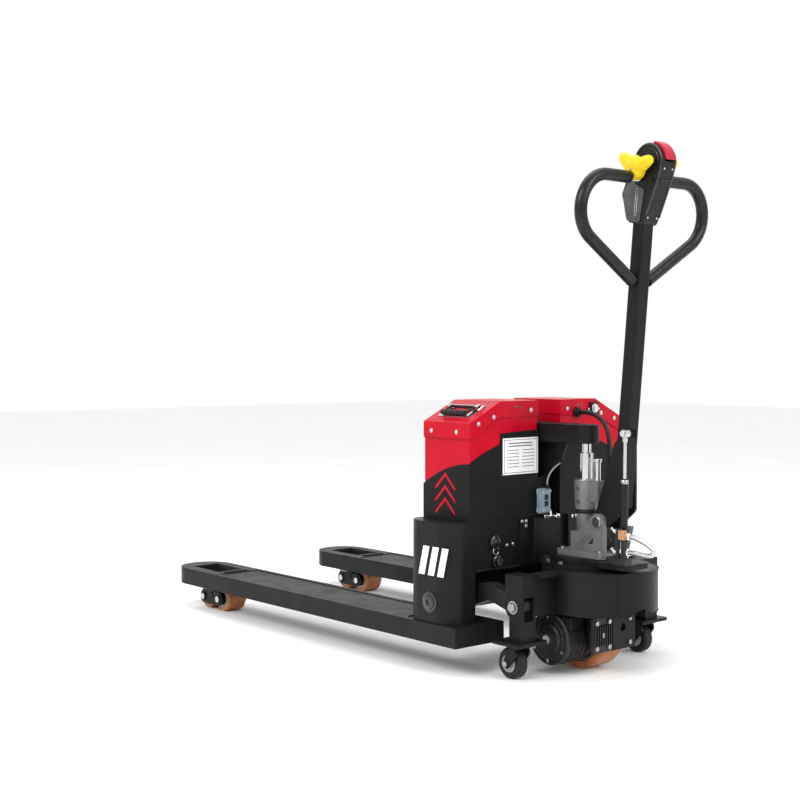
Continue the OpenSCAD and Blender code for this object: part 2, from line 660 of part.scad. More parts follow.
module pump_collar() color("#7c7e80") difference() {
    union() {
        translate([steer_x, 0, collar_z0])
            cylinder(r1 = collar_r - 3, r2 = collar_r, h = collar_z1 - collar_z0);
        block([steer_x, -13, collar_z0 + 20], [steer_x + 50, 13, collar_z1]);
    }
    translate([steer_x, 0, collar_z0 - 1]) cylinder(r = ram_d / 2 + run, h = 200);
    translate([plunger_x, 0, collar_z0 + 12]) cylinder(r = plunger_r + run, h = 200);
}
module pump_plunger() color("#d5d7da") {
    translate([plunger_x, 0, collar_z0 + 21]) cylinder(r = plunger_r, h = plunger_top - collar_z0 - 29);
    translate([plunger_x, 0, plunger_top - 8]) cylinder(r = plunger_r + 2.5, h = 8);
}
module solenoid_valve() color("#b87333") {
    block([gas_x0 - 6, -78, 332], [gas_x0 + 24, -59, gas_z0 + 7]);
    bar_x(gas_x0 + 24, steer_x + 196, -66, 343, 8);
    translate([gas_x0 + 12, -66, pump_z + 16]) cylinder(r = 9, h = 332 - pump_z - 16);
    block([gas_x0 - 30, -78, pump_z + 0.3 - 2], [gas_x0 + 28, -52, pump_z + 16]);
    bar_x(gas_x0 + 21, steer_x + 192, -66, 307, 8);
    // stud of the gas spring
    bar_y(gas_x0, gas_z0, gas_pin_r, -62, gas_y + 6);
}
module hydraulic_loop() color("#cfd2d4") sweep(smooth_route(pipe_pts, 3), pipe_r, 10);
module motor_housing() color("#1e1e1f") {
    bar_y(steer_x, motor_z, motor_r, -132, -62);
    bar_y(steer_x, motor_z, motor_r - 26, -138, -132);
    for (a = [0 : 60 : 300])
        bar_y(steer_x + (motor_r - 12) * cos(a), motor_z + (motor_r - 12) * sin(a), 5, -136, -132);
}
module gearbox() color("#232324") difference() {
    union() {
        bar_y(steer_x, drive_r, 76, -61.7, -drive_w / 2 - 4);
        block([steer_x - 52, -61.7, drive_r], [steer_x + 52, -drive_w / 2 - 4, drive_d + 5.7]);
        block([steer_x - 52, -61.7, drive_d + 2], [steer_x + 52, 0, drive_d + 5.7]);
        bar_y(steer_x, drive_r, 14, -drive_w / 2 - 5, drive_w / 2 + 4);
        // casting that wraps round in front of the tyre
        block([steer_x + 50, -61.7, shield_z0], [shield_x + 10, -drive_w / 2 - 5, shield_z1]);
        block([shield_x, -98, shield_z0], [shield_x + 10, -30, shield_z1]);
    }
    bar_y(steer_x, drive_r, 6, drive_w / 2 - 10, drive_w / 2 + 5);
}
module wheel_bracket() color("#1f2021") difference() {
    union() {
        plate_y(drive_w / 2 + 4.3, drive_w / 2 + 16) hull() {
            translate([steer_x, drive_r]) circle(r = 34, $fn = 32);
            translate([steer_x - 40, drive_d]) square([80, 5.7]);
        }
        block([steer_x - 40, 0.3, drive_d + 2], [steer_x + 40, drive_w / 2 + 16, drive_d + 5.7]);
        // far half of the casting in front of the tyre
        block([steer_x + 20, drive_w / 2 + 4.3, shield_z0], [shield_x + 10, drive_w / 2 + 16, shield_z1]);
        block([shield_x, -28, shield_z0], [shield_x + 10, drive_w / 2 + 16, shield_z1]);
    }
    bar_x(shield_x - 1, shield_x + 11, 8, shield_z0 + 52, 9);
    block([steer_x - 18, drive_w / 2, drive_r + 44], [steer_x + 18, drive_w / 2 + 20, drive_r + 76]);
}
module drive_tyre() color("#b4692f") translate([steer_x, drive_w / 2, drive_r]) rotate([90, 0, 0])
    rotate_extrude($fn = 128) polygon([[drive_r - 18, 0], [drive_r - 5, 0], [drive_r, 5],
        [drive_r, drive_w - 5], [drive_r - 5, drive_w], [drive_r - 18, drive_w]]);
module drive_hub() color("#55575a") translate([steer_x, drive_w / 2, drive_r]) rotate([90, 0, 0])
    rotate_extrude($fn = 128) polygon([[14 + run, 4], [drive_r - 18, 4],
        [drive_r - 18, drive_w - 4], [14 + run, drive_w - 4]]);
module tiller_pin() color("silver") {
    bar_y(pivot_x, pivot_z, pin_r, -ear_y1 - 1, ear_y1 + 1);
    mirrored_y() bar_y(pivot_x, pivot_z, 13, -ear_y1 - 4, -ear_y1 - 0.3);
}

// ------------------------------------------------------------------- tiller

module leaned() translate([pivot_x, 0, pivot_z]) rotate([0, tiller_lean, 0]) children();

module tiller_base() color("#242526") leaned() difference() {
    union() {
        mirrored_y() plate_y(-tube_w / 2 - 7.5, -tube_w / 2 - 0.3) hull() {
            circle(r = 22, $fn = 32);
            translate([tube_x + 4, 40]) circle(r = 18, $fn = 32);
            translate([tube_x - 4, 190]) circle(r = 12, $fn = 32);
        }
        // cross piece that the tube stands on
        pillar([tube_x - tube_d / 2, -tube_w / 2 - 1, tube_z0 - 22],
            [tube_x + tube_d / 2, tube_w / 2 + 1, tube_z0 - 0.3], 5);
    }
    bar_y(0, 0, pin_r + run, -80, 80);
}
module tiller_tube() color("#2d2e30") leaned() {
    difference() {
        pillar([tube_x - tube_d / 2, -tube_w / 2, tube_z0],
            [tube_x + tube_d / 2, tube_w / 2, tiller_top], 6);
        pillar([tube_x - tube_d / 2 + 3, -tube_w / 2 + 3, tube_z0 - 1],
            [tube_x + tube_d / 2 - 3, tube_w / 2 - 3, tiller_top + 1], 3);
    }
    // stud of the gas spring
    block([stud_x - 20, -tube_w / 2 - 2, stud_z - 10], [stud_x + 10, -tube_w / 2 + 1, stud_z + 10]);
    bar_y(stud_x, stud_z, 6, gas_y + gas_r + gap, -tube_w / 2 - 1);
}
module loop_arc(cy, cz, r, a0, a1) translate([0, cy, cz]) rotate([90, 0, 90])
    rotate([0, 0, a0]) rotate_extrude(angle = a1 - a0) translate([r, 0]) circle(r = loop_d / 2);
module rod_yz(a, b, r) translate([0, a[0], a[1]])
    rotate([-atan2(b[0] - a[0], b[1] - a[1]), 0, 0]) cylinder(r = r, h = norm(b - a));
module handle_loops() color("#2b2c2e") leaned() translate([tube_x, 0, 0]) mirrored_y() {
    loop_arc(arc_y, arc_z, bend_r, 90, 360 + tan_a);
    rod_yz([arc_y, loop_top], [-grip_half - 39, loop_top], loop_d / 2);
    rod_yz(touch, foot, loop_d / 2);
}
module head_2d() difference() {
    hull() {
        translate([grip_x, tiller_len]) circle(r = grip_r, $fn = 64);
        translate([tube_x - tube_d / 2, head_low + 12]) circle(r = 10, $fn = 24);
        translate([tube_x + tube_d / 2 - 6, head_low + 10]) circle(r = 12, $fn = 24);
        translate([tube_x - 38, tiller_len - 76]) circle(r = 12, $fn = 24);
    }
    // scoop that holds the throttle
    translate([throttle_x - 14, throttle_z]) circle(r = 27, $fn = 48);
    translate([throttle_x - 60, throttle_z - 22]) square([40, 44]);
}
module head_housing() color("#303133") leaned() difference() {
    union() {
        plate_y(-grip_half, grip_half) head_2d();
        plate_y(-grip_half + 1, grip_half - 1)
            link_2d([throttle_x, throttle_z], [grip_x, throttle_z], 17, 12);
    }
    bar_y(throttle_x, throttle_z, 9 + run, -60, 60);
    // seat of the top button
    plate_y(-17, 17) difference() {
        translate([grip_x, tiller_len]) circle(r = grip_r + 9);
        translate([grip_x, tiller_len]) circle(r = grip_r - 12);
        translate([grip_x - 90, tiller_len - 90]) square([90, 180]);
        translate([grip_x - 1, tiller_len - 90]) square([90, 90]);
    }
    // socket for the tube
    pillar([tube_x - tube_d / 2 - 0.3, -tube_w / 2 - 0.3, 0],
        [tube_x + tube_d / 2 + 0.3, tube_w / 2 + 0.3, tiller_top + 0.3], 6.3);
}
module head_panels() color("#a9abad") leaned() mirrored_y()
    plate_y(-grip_half - 3, -grip_half - 0.3) hull() {
    translate([tube_x - tube_d / 2 + 4, head_low + 16]) circle(r = 8, $fn = 24);
    translate([tube_x - 2, head_low + 14]) circle(r = 8, $fn = 24);
    translate([tube_x - 36, tiller_len - 78]) circle(r = 9, $fn = 24);
    translate([tube_x - 2, tiller_len - 70]) circle(r = 8, $fn = 24);
}
module throttle() color("#f2cf1d") leaned() {
    bar_y(throttle_x, throttle_z, 9, -grip_half - 10, grip_half + 10);
    mirrored_y() plate_y(-grip_half - 34, -grip_half - 5) union() {
        translate([throttle_x, throttle_z]) circle(r = thumb_hub_r);
        // thumb ears, forward and back of the hub
        for (a = [28, 140]) link_2d([throttle_x, throttle_z],
            [throttle_x + thumb_reach * cos(a), throttle_z + thumb_reach * sin(a)], 15, thumb_tip_r);
    }
}
module belly_button() color("#d21436") leaned() plate_y(-16.5, 16.5) difference() {
    translate([grip_x, tiller_len]) circle(r = button_r);
    translate([grip_x, tiller_len]) circle(r = grip_r - 5);
    translate([grip_x - 90, tiller_len - 90]) square([90 + button_play, 180]);
    translate([grip_x - 1, tiller_len - 90]) square([90, 90 + button_play]);
}

// --------------------------------------------------------------- gas spring

module on_gas() translate([gas_x0, gas_y, gas_z0]) rotate([0, gas_a, 0]) children();
module gas_cylinder() color("#1a1a1b") on_gas() difference() {
    union() {
        bar_y(0, 0, eye_r, -6, 6);
        translate([0, 0, eye_r - 2]) cylinder(r = gas_r, h = body_len - eye_r + 2);
    }
    bar_y(0, 0, gas_pin_r + run, -gas_r - 1, gas_r + 1);
    translate([0, 0, 14]) cylinder(r = gas_rod_r + run, h = body_len);
}
module gas_rod() color("#9a9c9e") on_gas() {
    translate([0, 0, body_len - 22]) cylinder(r = gas_rod_r, h = gas_len - body_len + 14);
    bar_y(0, gas_len, eye_r + 1, -7, gas_r - gap + 0.4);
}

place() base_frame();
place() pivot_bolts();
place() caster_fork_left();
place() caster_fork_right();
place() caster_wheel_left();
place() caster_wheel_right();
place() turntable();
place() pump_body();
place() pump_collar();
place() pump_plunger();
place() solenoid_valve();
place() hydraulic_loop();
place() motor_housing();
place() gearbox();
place() wheel_bracket();
place() drive_tyre();
place() drive_hub();
place() tiller_pin();
place() tiller_base();
place() tiller_tube();
place() handle_loops();
place() head_housing();
place() head_panels();
place() throttle();
place() belly_button();
place() gas_cylinder();
place() gas_rod();
place() fork_left();
place() fork_right();
place() frame_box();
place() tower_cover_left();
place() tower_cover_right();
place() tower_wrap_left();
place() tower_wrap_right();
place() tower_cap_left();
place() tower_cap_right();
place() cover_screws();
place() lift_head();
place() data_plate();
place() grip_plate();
place() grip_bail();
place() charge_socket();
place() cable_gland();
place() control_cable();
place() limit_switch();
place() switch_cable();
place() frame_fittings();
place() ram_rod();
place() battery();
place() controller();
place() torsion_tube();
place() push_rods();
place() roller_arm_left();
place() roller_arm_right();
place() bogie_left();
place() bogie_right();
place() load_roller_1();
place() load_roller_2();
place() load_roller_3();
place() load_roller_4();
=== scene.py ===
import json
import math
import bmesh
import bpy
from mathutils import Matrix, Vector
from mathutils.geometry import convex_hull_2d


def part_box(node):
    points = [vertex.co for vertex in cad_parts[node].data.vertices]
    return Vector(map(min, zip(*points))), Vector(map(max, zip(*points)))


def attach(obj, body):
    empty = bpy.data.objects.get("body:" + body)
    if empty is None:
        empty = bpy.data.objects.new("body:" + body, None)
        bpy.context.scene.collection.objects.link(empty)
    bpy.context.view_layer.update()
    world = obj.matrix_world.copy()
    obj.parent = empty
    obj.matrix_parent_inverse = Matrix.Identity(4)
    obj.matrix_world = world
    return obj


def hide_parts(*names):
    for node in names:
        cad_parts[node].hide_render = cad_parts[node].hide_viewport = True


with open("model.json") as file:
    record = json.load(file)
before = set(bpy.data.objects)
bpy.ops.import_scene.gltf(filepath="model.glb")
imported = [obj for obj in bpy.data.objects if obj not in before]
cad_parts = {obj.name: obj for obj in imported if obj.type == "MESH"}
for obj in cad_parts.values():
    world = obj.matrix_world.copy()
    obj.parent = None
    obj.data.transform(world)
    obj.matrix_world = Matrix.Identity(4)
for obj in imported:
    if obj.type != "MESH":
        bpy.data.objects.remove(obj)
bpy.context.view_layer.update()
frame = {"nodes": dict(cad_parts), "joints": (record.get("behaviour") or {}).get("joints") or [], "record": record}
cadNodes = frame["nodes"]
cadBodies = frame["record"]["behaviour"]["bodies"]
mm = 0.001


def bodyOf(node):
    return next(body for body, members in cadBodies.items() if node in members)


def middle(node):
    low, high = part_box(node)
    return (low + high) / 2


# finishes

coatRoughness = 0.1
noiseLow, noiseHigh = 0.3, 0.7         # most of a noise lies between these


def addNode(tree, kind, feeds=None, **settings):
    # a feed is a socket to link, or a plain value
    node = tree.nodes.new(kind)
    for label, setting in settings.items():
        setattr(node, label, setting)
    for label, feed in (feeds or {}).items():
        if isinstance(feed, bpy.types.NodeSocket):
            tree.links.new(feed, node.inputs[label])
        else:
            node.inputs[label].default_value = feed
    return node


def newFinish(name, roughness, metallic=0.0, coat=0.0, specular=0.5):
    finish = bpy.data.materials.new(name)
    finish.use_nodes = True
    shader = finish.node_tree.nodes["Principled BSDF"]
    for label, amount in (("Roughness", roughness), ("Metallic", metallic), ("Coat Weight", coat),
                          ("Coat Roughness", coatRoughness), ("Specular IOR Level", specular)):
        shader.inputs[label].default_value = amount
    return finish, finish.node_tree, shader


def objectPoint(tree, stretch=(1, 1, 1)):
    where = addNode(tree, "ShaderNodeTexCoord")
    mapping = addNode(tree, "ShaderNodeMapping", {"Scale": stretch, "Vector": where.outputs["Object"]})
    return mapping.outputs["Vector"]


def noiseOf(tree, point, scale, detail=4.0, rough=0.55):
    noise = addNode(tree, "ShaderNodeTexNoise", {"Scale": scale, "Detail": detail, "Roughness": rough,
                                                 "Vector": point})
    return noise.outputs["Fac"]


def cellsOf(tree, point, scale):
    return addNode(tree, "ShaderNodeTexVoronoi", {"Scale": scale, "Vector": point}).outputs["Distance"]


def ramped(tree, value, dark, light, low=noiseLow, high=noiseHigh):
    ramp = addNode(tree, "ShaderNodeValToRGB", {"Fac": value})
    for element, place, colour in zip(ramp.color_ramp.elements, (low, high), (dark, light)):
        element.position = place
        element.color = (*colour, 1)
    return ramp.outputs["Color"]


def rangeOf(tree, value, low, high, newLow, newHigh):
    spread = addNode(tree, "ShaderNodeMapRange", {"From Min": low, "From Max": high, "To Min": newLow,
                                                  "To Max": newHigh, "Value": value})
    return spread.outputs["Result"]


def mixed(tree, factor, colour, over):
    mix = addNode(tree, "ShaderNodeMix", {"Factor": factor, "A": colour, "B": (*over, 1)}, data_type="RGBA")
    return mix.outputs["Result"]


def dressed(tree, shader, colour, tone, rough):
    # base colour, and a roughness that follows a noise
    tree.links.new(colour, shader.inputs["Base Color"])
    tree.links.new(rangeOf(tree, tone, noiseLow, noiseHigh, *rough), shader.inputs["Roughness"])


def bumped(tree, shader, height, strength, distance, under=None):
    feeds = {"Strength": strength, "Distance": distance, "Height": height}
    if under:
        feeds["Normal"] = under
    normal = addNode(tree, "ShaderNodeBump", feeds).outputs["Normal"]
    tree.links.new(normal, shader.inputs["Normal"])
    return normal


def paint(name, dark, light, rough, peel=0.10, peelScale=900, coat=0.0, dust=0.0, scuff=0.0, specular=0.5):
    # sprayed coat: slow colour drift, orange peel, a little shelf dust and hairline scuffs
    finish, tree, shader = newFinish(name, rough[0], 0.0, coat, specular)
    point = objectPoint(tree)
    colour = ramped(tree, noiseOf(tree, point, 7, 5), dark, light)
    if scuff:
        streak = noiseOf(tree, objectPoint(tree, (1, 1, 14)), 60, 6, 0.7)
        worn = tuple(0.05 + c * 1.5 for c in light)
        colour = mixed(tree, rangeOf(tree, streak, 0.63, 0.72, 0, scuff), colour, worn)
    if dust:
        speck = noiseOf(tree, point, 180, 8, 0.75)
        colour = mixed(tree, rangeOf(tree, speck, 0.56, 0.74, 0, dust), colour, (0.34, 0.33, 0.31))
    dressed(tree, shader, colour, noiseOf(tree, point, 22, 6), rough)
    bumped(tree, shader, noiseOf(tree, point, peelScale, 2), peel, 0.0004)
    return finish


def metal(name, dark, light, rough, brush=(1, 1, 1), brushScale=300, bump=0.05):
    finish, tree, shader = newFinish(name, rough[0], 1.0)
    streak = noiseOf(tree, objectPoint(tree, brush), brushScale, 5, 0.6)
    dressed(tree, shader, ramped(tree, streak, dark, light), streak, rough)
    bumped(tree, shader, streak, bump, 0.0003)
    return finish


def casting(name, dark, light, rough):
    # painted sand casting: coarse pitted skin
    finish, tree, shader = newFinish(name, rough[0], 0.25)
    point = objectPoint(tree)
    skin = noiseOf(tree, point, 240, 8, 0.7)
    dressed(tree, shader, ramped(tree, noiseOf(tree, point, 30, 6), dark, light), skin, rough)
    pits = bumped(tree, shader, skin, 0.35, 0.0012)
    bumped(tree, shader, cellsOf(tree, point, 260), 0.2, 0.0008, pits)
    return finish


def plastic(name, dark, light, rough, grain=0.18, grainScale=1400, coat=0.0, specular=0.5):
    finish, tree, shader = newFinish(name, rough[0], 0.0, coat, specular)
    point = objectPoint(tree)
    tone = noiseOf(tree, point, 40, 4)
    dressed(tree, shader, ramped(tree, tone, dark, light), tone, rough)
    bumped(tree, shader, cellsOf(tree, point, grainScale), grain, 0.0003)
    return finish


def polyurethane(name):
    # cast amber tread: cloudy, a little light passes through the skin, fine turning marks
    finish, tree, shader = newFinish(name, 0.3, 0.0, 0.25)
    shader.inputs["Subsurface Weight"].default_value = 0.12
    shader.inputs["Subsurface Radius"].default_value = (0.004, 0.0015, 0.0006)
    point = objectPoint(tree)
    cloud = noiseOf(tree, point, 35, 6)
    colour = ramped(tree, cloud, (0.28, 0.085, 0.022), (0.47, 0.165, 0.04), 0.25, 0.75)
    grime = rangeOf(tree, noiseOf(tree, point, 160, 8, 0.75), 0.54, 0.72, 0, 0.45)
    dressed(tree, shader, mixed(tree, grime, colour, (0.10, 0.07, 0.05)), cloud, (0.26, 0.48))
    bumped(tree, shader, noiseOf(tree, objectPoint(tree, (0.15, 1, 0.15)), 900, 2), 0.15, 0.0004)
    return finish


finishes = {
    "frame": paint("framePaint", (0.0060, 0.0060, 0.0066), (0.0105, 0.0105, 0.0112), (0.30, 0.44), 0.16, 700,
                   dust=0.02, specular=0.14),
    "fork": paint("forkPaint", (0.0075, 0.0075, 0.0082), (0.0130, 0.0130, 0.0140), (0.36, 0.50), 0.18, 650,
                  dust=0.04, scuff=0.12, specular=0.14),
    "red": paint("coverRed", (0.40, 0.0015, 0.012), (0.49, 0.0028, 0.018), (0.24, 0.34), 0.08, 500,
                 specular=0.14),
    "wrap": paint("wrapBlack", (0.0060, 0.0060, 0.0060), (0.0095, 0.0095, 0.0092), (0.40, 0.50), 0.12, 900,
                  dust=0.015, specular=0.12),
    "cast": casting("castGrey", (0.100, 0.103, 0.108), (0.180, 0.184, 0.190), (0.36, 0.52)),
    "castBlack": casting("castBlack", (0.0065, 0.0065, 0.0070), (0.0120, 0.0120, 0.0126), (0.36, 0.54)),
    "chrome": metal("chromePlate", (0.62, 0.63, 0.65), (0.78, 0.79, 0.80), (0.07, 0.16), (1, 1, 8), 160,
                    0.02),
    "zinc": metal("zincPlate", (0.46, 0.47, 0.48), (0.66, 0.66, 0.66), (0.24, 0.38), (1, 1, 1), 500, 0.06),
    "steel": metal("turnedSteel", (0.28, 0.28, 0.29), (0.42, 0.42, 0.43), (0.26, 0.42), (1, 6, 1), 420, 0.08),
    "tread": polyurethane("amberTread"),
    "rubber": plastic("blackRubber", (0.0055, 0.0055, 0.0055), (0.0100, 0.0100, 0.0100), (0.48, 0.62), 0.25,
                      1800,
                      specular=0.3),
    "grip": plastic("gripSleeve", (0.0070, 0.0070, 0.0076), (0.0115, 0.0115, 0.0122), (0.24, 0.34), 0.10,
                    2200,
                    specular=0.24),
    "black": plastic("blackMoulding", (0.0070, 0.0070, 0.0076), (0.0120, 0.0120, 0.0126), (0.28, 0.40),
                     specular=0.2),
    "grey": plastic("greyMoulding", (0.25, 0.25, 0.255), (0.32, 0.32, 0.325), (0.38, 0.5)),
    "yellow": plastic("yellowMoulding", (0.66, 0.46, 0.004), (0.78, 0.57, 0.010), (0.26, 0.36), 0.05, 1400,
                      specular=0.3),
    "redKey": plastic("redKey", (0.36, 0.006, 0.022), (0.46, 0.010, 0.032), (0.24, 0.32), 0.05, 1400,
                      specular=0.3),
    "plate": paint("plateWhite", (0.78, 0.78, 0.76), (0.86, 0.86, 0.85), (0.26, 0.34), 0.04, 900),
    "ink": paint("plateInk", (0.05, 0.05, 0.055), (0.09, 0.09, 0.095), (0.4, 0.5), 0.04, 900),
    "white": paint("markWhite", (0.76, 0.77, 0.77), (0.86, 0.87, 0.87), (0.34, 0.44), 0.10, 700, dust=0.08),
    "switch": plastic("switchBody", (0.17, 0.235, 0.29), (0.25, 0.325, 0.385), (0.34, 0.46), 0.2, 900),
    "sidePanel": plastic("panelGrey", (0.030, 0.030, 0.032), (0.062, 0.062, 0.064), (0.18, 0.28), 0.05, 1200,
                         0.2),
    "gloss": plastic("glossBlack", (0.0060, 0.0060, 0.0062), (0.0100, 0.0100, 0.0104), (0.16, 0.26), 0.04,
                     1600, 0.3),
    "copper": metal("copperBlock", (0.48, 0.24, 0.12), (0.64, 0.36, 0.20), (0.26, 0.4), (1, 1, 1), 260, 0.08),
}
print("finishes ready:", len(finishes))


# mesh helpers: places are in metres; radii, profiles and widths are in mm

sharpAngle, bevelAngle, flatAngle = 35, 40, 0.6        # degrees
mergeGap = 0.02 * mm


def markSharp(bm):
    for face in bm.faces:
        face.smooth = True
    for edge in bm.edges:
        edge.smooth = not (len(edge.link_faces) == 2 and edge.calc_face_angle(0) > math.radians(sharpAngle))


def meshFrom(bm, name):
    markSharp(bm)
    mesh = bpy.data.meshes.new(name)
    bm.to_mesh(mesh)
    bm.free()
    return mesh


def addPiece(name, mesh, body, finish, stands=()):
    piece = bpy.data.objects.new(name, mesh)
    bpy.context.scene.collection.objects.link(piece)
    mesh.materials.clear()
    mesh.materials.append(finishes[finish])
    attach(piece, body)
    if stands:
        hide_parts(*stands)
    return piece


def baked(mesh, setUp):
    # runs modifiers on a mesh and hands back the plain result
    holder = bpy.data.objects.new("holder", mesh)
    bpy.context.scene.collection.objects.link(holder)
    setUp(holder)
    bpy.context.view_layer.update()
    evaluated = holder.evaluated_get(bpy.context.evaluated_depsgraph_get())
    result = bpy.data.meshes.new_from_object(evaluated)
    bpy.data.objects.remove(holder)
    return result


def bevelled(mesh, width, segments=2):
    def setUp(holder):
        bevel = holder.modifiers.new("edges", "BEVEL")
        bevel.width = width * mm
        bevel.segments = segments
        bevel.limit_method = "ANGLE"
        bevel.angle_limit = math.radians(bevelAngle)
        bevel.harden_normals = True
        holder.modifiers.new("shade", "WEIGHTED_NORMAL").keep_sharp = True
    return baked(mesh, setUp)


def softNode(node, finish, width):
    # a merged copy of a CAD node with its edges broken
    bm = bmesh.new()
    bm.from_mesh(cadNodes[node].data)
    bmesh.ops.remove_doubles(bm, verts=bm.verts, dist=mergeGap)
    bmesh.ops.dissolve_limit(bm, angle_limit=math.radians(flatAngle), verts=bm.verts, edges=bm.edges)
    mesh = bevelled(meshFrom(bm, node), width)
    addPiece(node + "_skin", mesh, bodyOf(node), finish, [node])


def joinRings(bm, rings):
    # walls between the rings, and a face over each end
    sides = len(rings[0])
    for low, high in zip(rings, rings[1:]):
        for k in range(sides):
            bm.faces.new((low[k], low[(k + 1) % sides], high[(k + 1) % sides], high[k]))
    bm.faces.new(list(reversed(rings[0])))
    bm.faces.new(rings[-1])


def ringAt(bm, centre, across, other, radius, sides):
    turns = (2 * math.pi * k / sides for k in range(sides))
    return [bm.verts.new(centre + radius * (across * math.cos(a) + other * math.sin(a))) for a in turns]


def addTube(bm, points, radius, sides=16):
    # round section carried along points without twist
    points = [Vector(p) for p in points]
    rings = []
    across = None
    for index, point in enumerate(points):
        before = points[max(index - 1, 0)]
        after = points[min(index + 1, len(points) - 1)]
        along = (after - before).normalized()
        if across is None:
            across = along.orthogonal().normalized()
        across = (across - along * across.dot(along)).normalized()
        rings.append(ringAt(bm, point, across, along.cross(across), radius * mm, sides))
    joinRings(bm, rings)


def addTurned(bm, profile, centre, axis, sides=48):
    # lathe work: profile is [(distance along axis, radius)] in mm, closed at both ends
    axis = Vector(axis).normalized()
    across = axis.orthogonal().normalized()
    other = axis.cross(across)
    joinRings(bm, [ringAt(bm, Vector(centre) + axis * (along * mm), across, other, radius * mm, sides)
                   for along, radius in profile])


def addBlock(bm, low, high):
    corners = [bm.verts.new((x, y, z)) for x in (low[0], high[0]) for y in (low[1], high[1])
               for z in (low[2], high[2])]
    for ring in ((0, 1, 3, 2), (4, 6, 7, 5), (0, 4, 5, 1), (2, 3, 7, 6), (0, 2, 6, 4), (1, 5, 7, 3)):
        bm.faces.new([corners[k] for k in ring])


def addPrism(bm, outline, origin, uAxis, vAxis, depth):
    # outline [(u, v)] in mm, pushed along u x v by depth, which may be negative
    uAxis, vAxis, origin = Vector(uAxis), Vector(vAxis), Vector(origin)
    push = uAxis.cross(vAxis).normalized() * (depth * mm)
    near = [bm.verts.new(origin + uAxis * (u * mm) + vAxis * (v * mm)) for u, v in outline]
    far = [bm.verts.new(vert.co + push) for vert in near]
    faces = [bm.faces.new(list(reversed(near))), bm.faces.new(far)]
    for k in range(len(near)):
        faces.append(bm.faces.new((near[k], near[(k + 1) % len(near)], far[(k + 1) % len(near)], far[k])))
    bmesh.ops.recalc_face_normals(bm, faces=faces)


def curvePoints(points, steps=6):
    # smooth curve through given points
    points = [Vector(p) for p in points]
    out = []
    for k in range(len(points) - 1):
        a, b = points[max(k - 1, 0)], points[k]
        c, d = points[k + 1], points[min(k + 2, len(points) - 1)]
        for step in range(steps):
            t = step / steps
            out.append(0.5 * (2 * b + (c - a) * t + (2 * a - 5 * b + 4 * c - d) * t * t
                              + (3 * b - a - 3 * c + d) * t ** 3))
    return out + [points[-1]]


def grownPiece(name, bm, body, finish, slot, width=0.0, segments=2, stands=()):
    mesh = meshFrom(bm, name)
    if width:
        mesh = bevelled(mesh, width, segments)
    return addPiece(name, mesh, body, finish, stands)


def turnedPiece(name, parts, *dress, **extra):
    # each part is what addTurned takes
    bm = bmesh.new()
    for part in parts:
        addTurned(bm, *part)
    return grownPiece(name, bm, *dress, **extra)


def tubePiece(name, paths, radius, sides, *dress, **extra):
    bm = bmesh.new()
    for path in paths:
        addTube(bm, path, radius, sides)
    return grownPiece(name, bm, *dress, **extra)


# what repeats: node trees

def newTree(name, sockets):
    tree = bpy.data.node_groups.new(name, "GeometryNodeTree")
    tree.interface.new_socket(name="Geometry", in_out="INPUT", socket_type="NodeSocketGeometry")
    for label, kind in sockets:
        tree.interface.new_socket(name=label, in_out="INPUT", socket_type="NodeSocket" + kind)
    tree.interface.new_socket(name="Geometry", in_out="OUTPUT", socket_type="NodeSocketGeometry")
    return tree, tree.nodes.new("NodeGroupInput"), tree.nodes.new("NodeGroupOutput")


def endTree(tree, source, groupIn, groupOut):
    # every tree ends the same way, because instances don't export
    realize = addNode(tree, "GeometryNodeRealizeInstances", {"Geometry": source})
    painted = addNode(tree, "GeometryNodeSetMaterial", {"Geometry": realize.outputs["Geometry"],
                                                        "Material": groupIn.outputs["Finish"]})
    tree.links.new(painted.outputs["Geometry"], groupOut.inputs["Geometry"])
    return tree


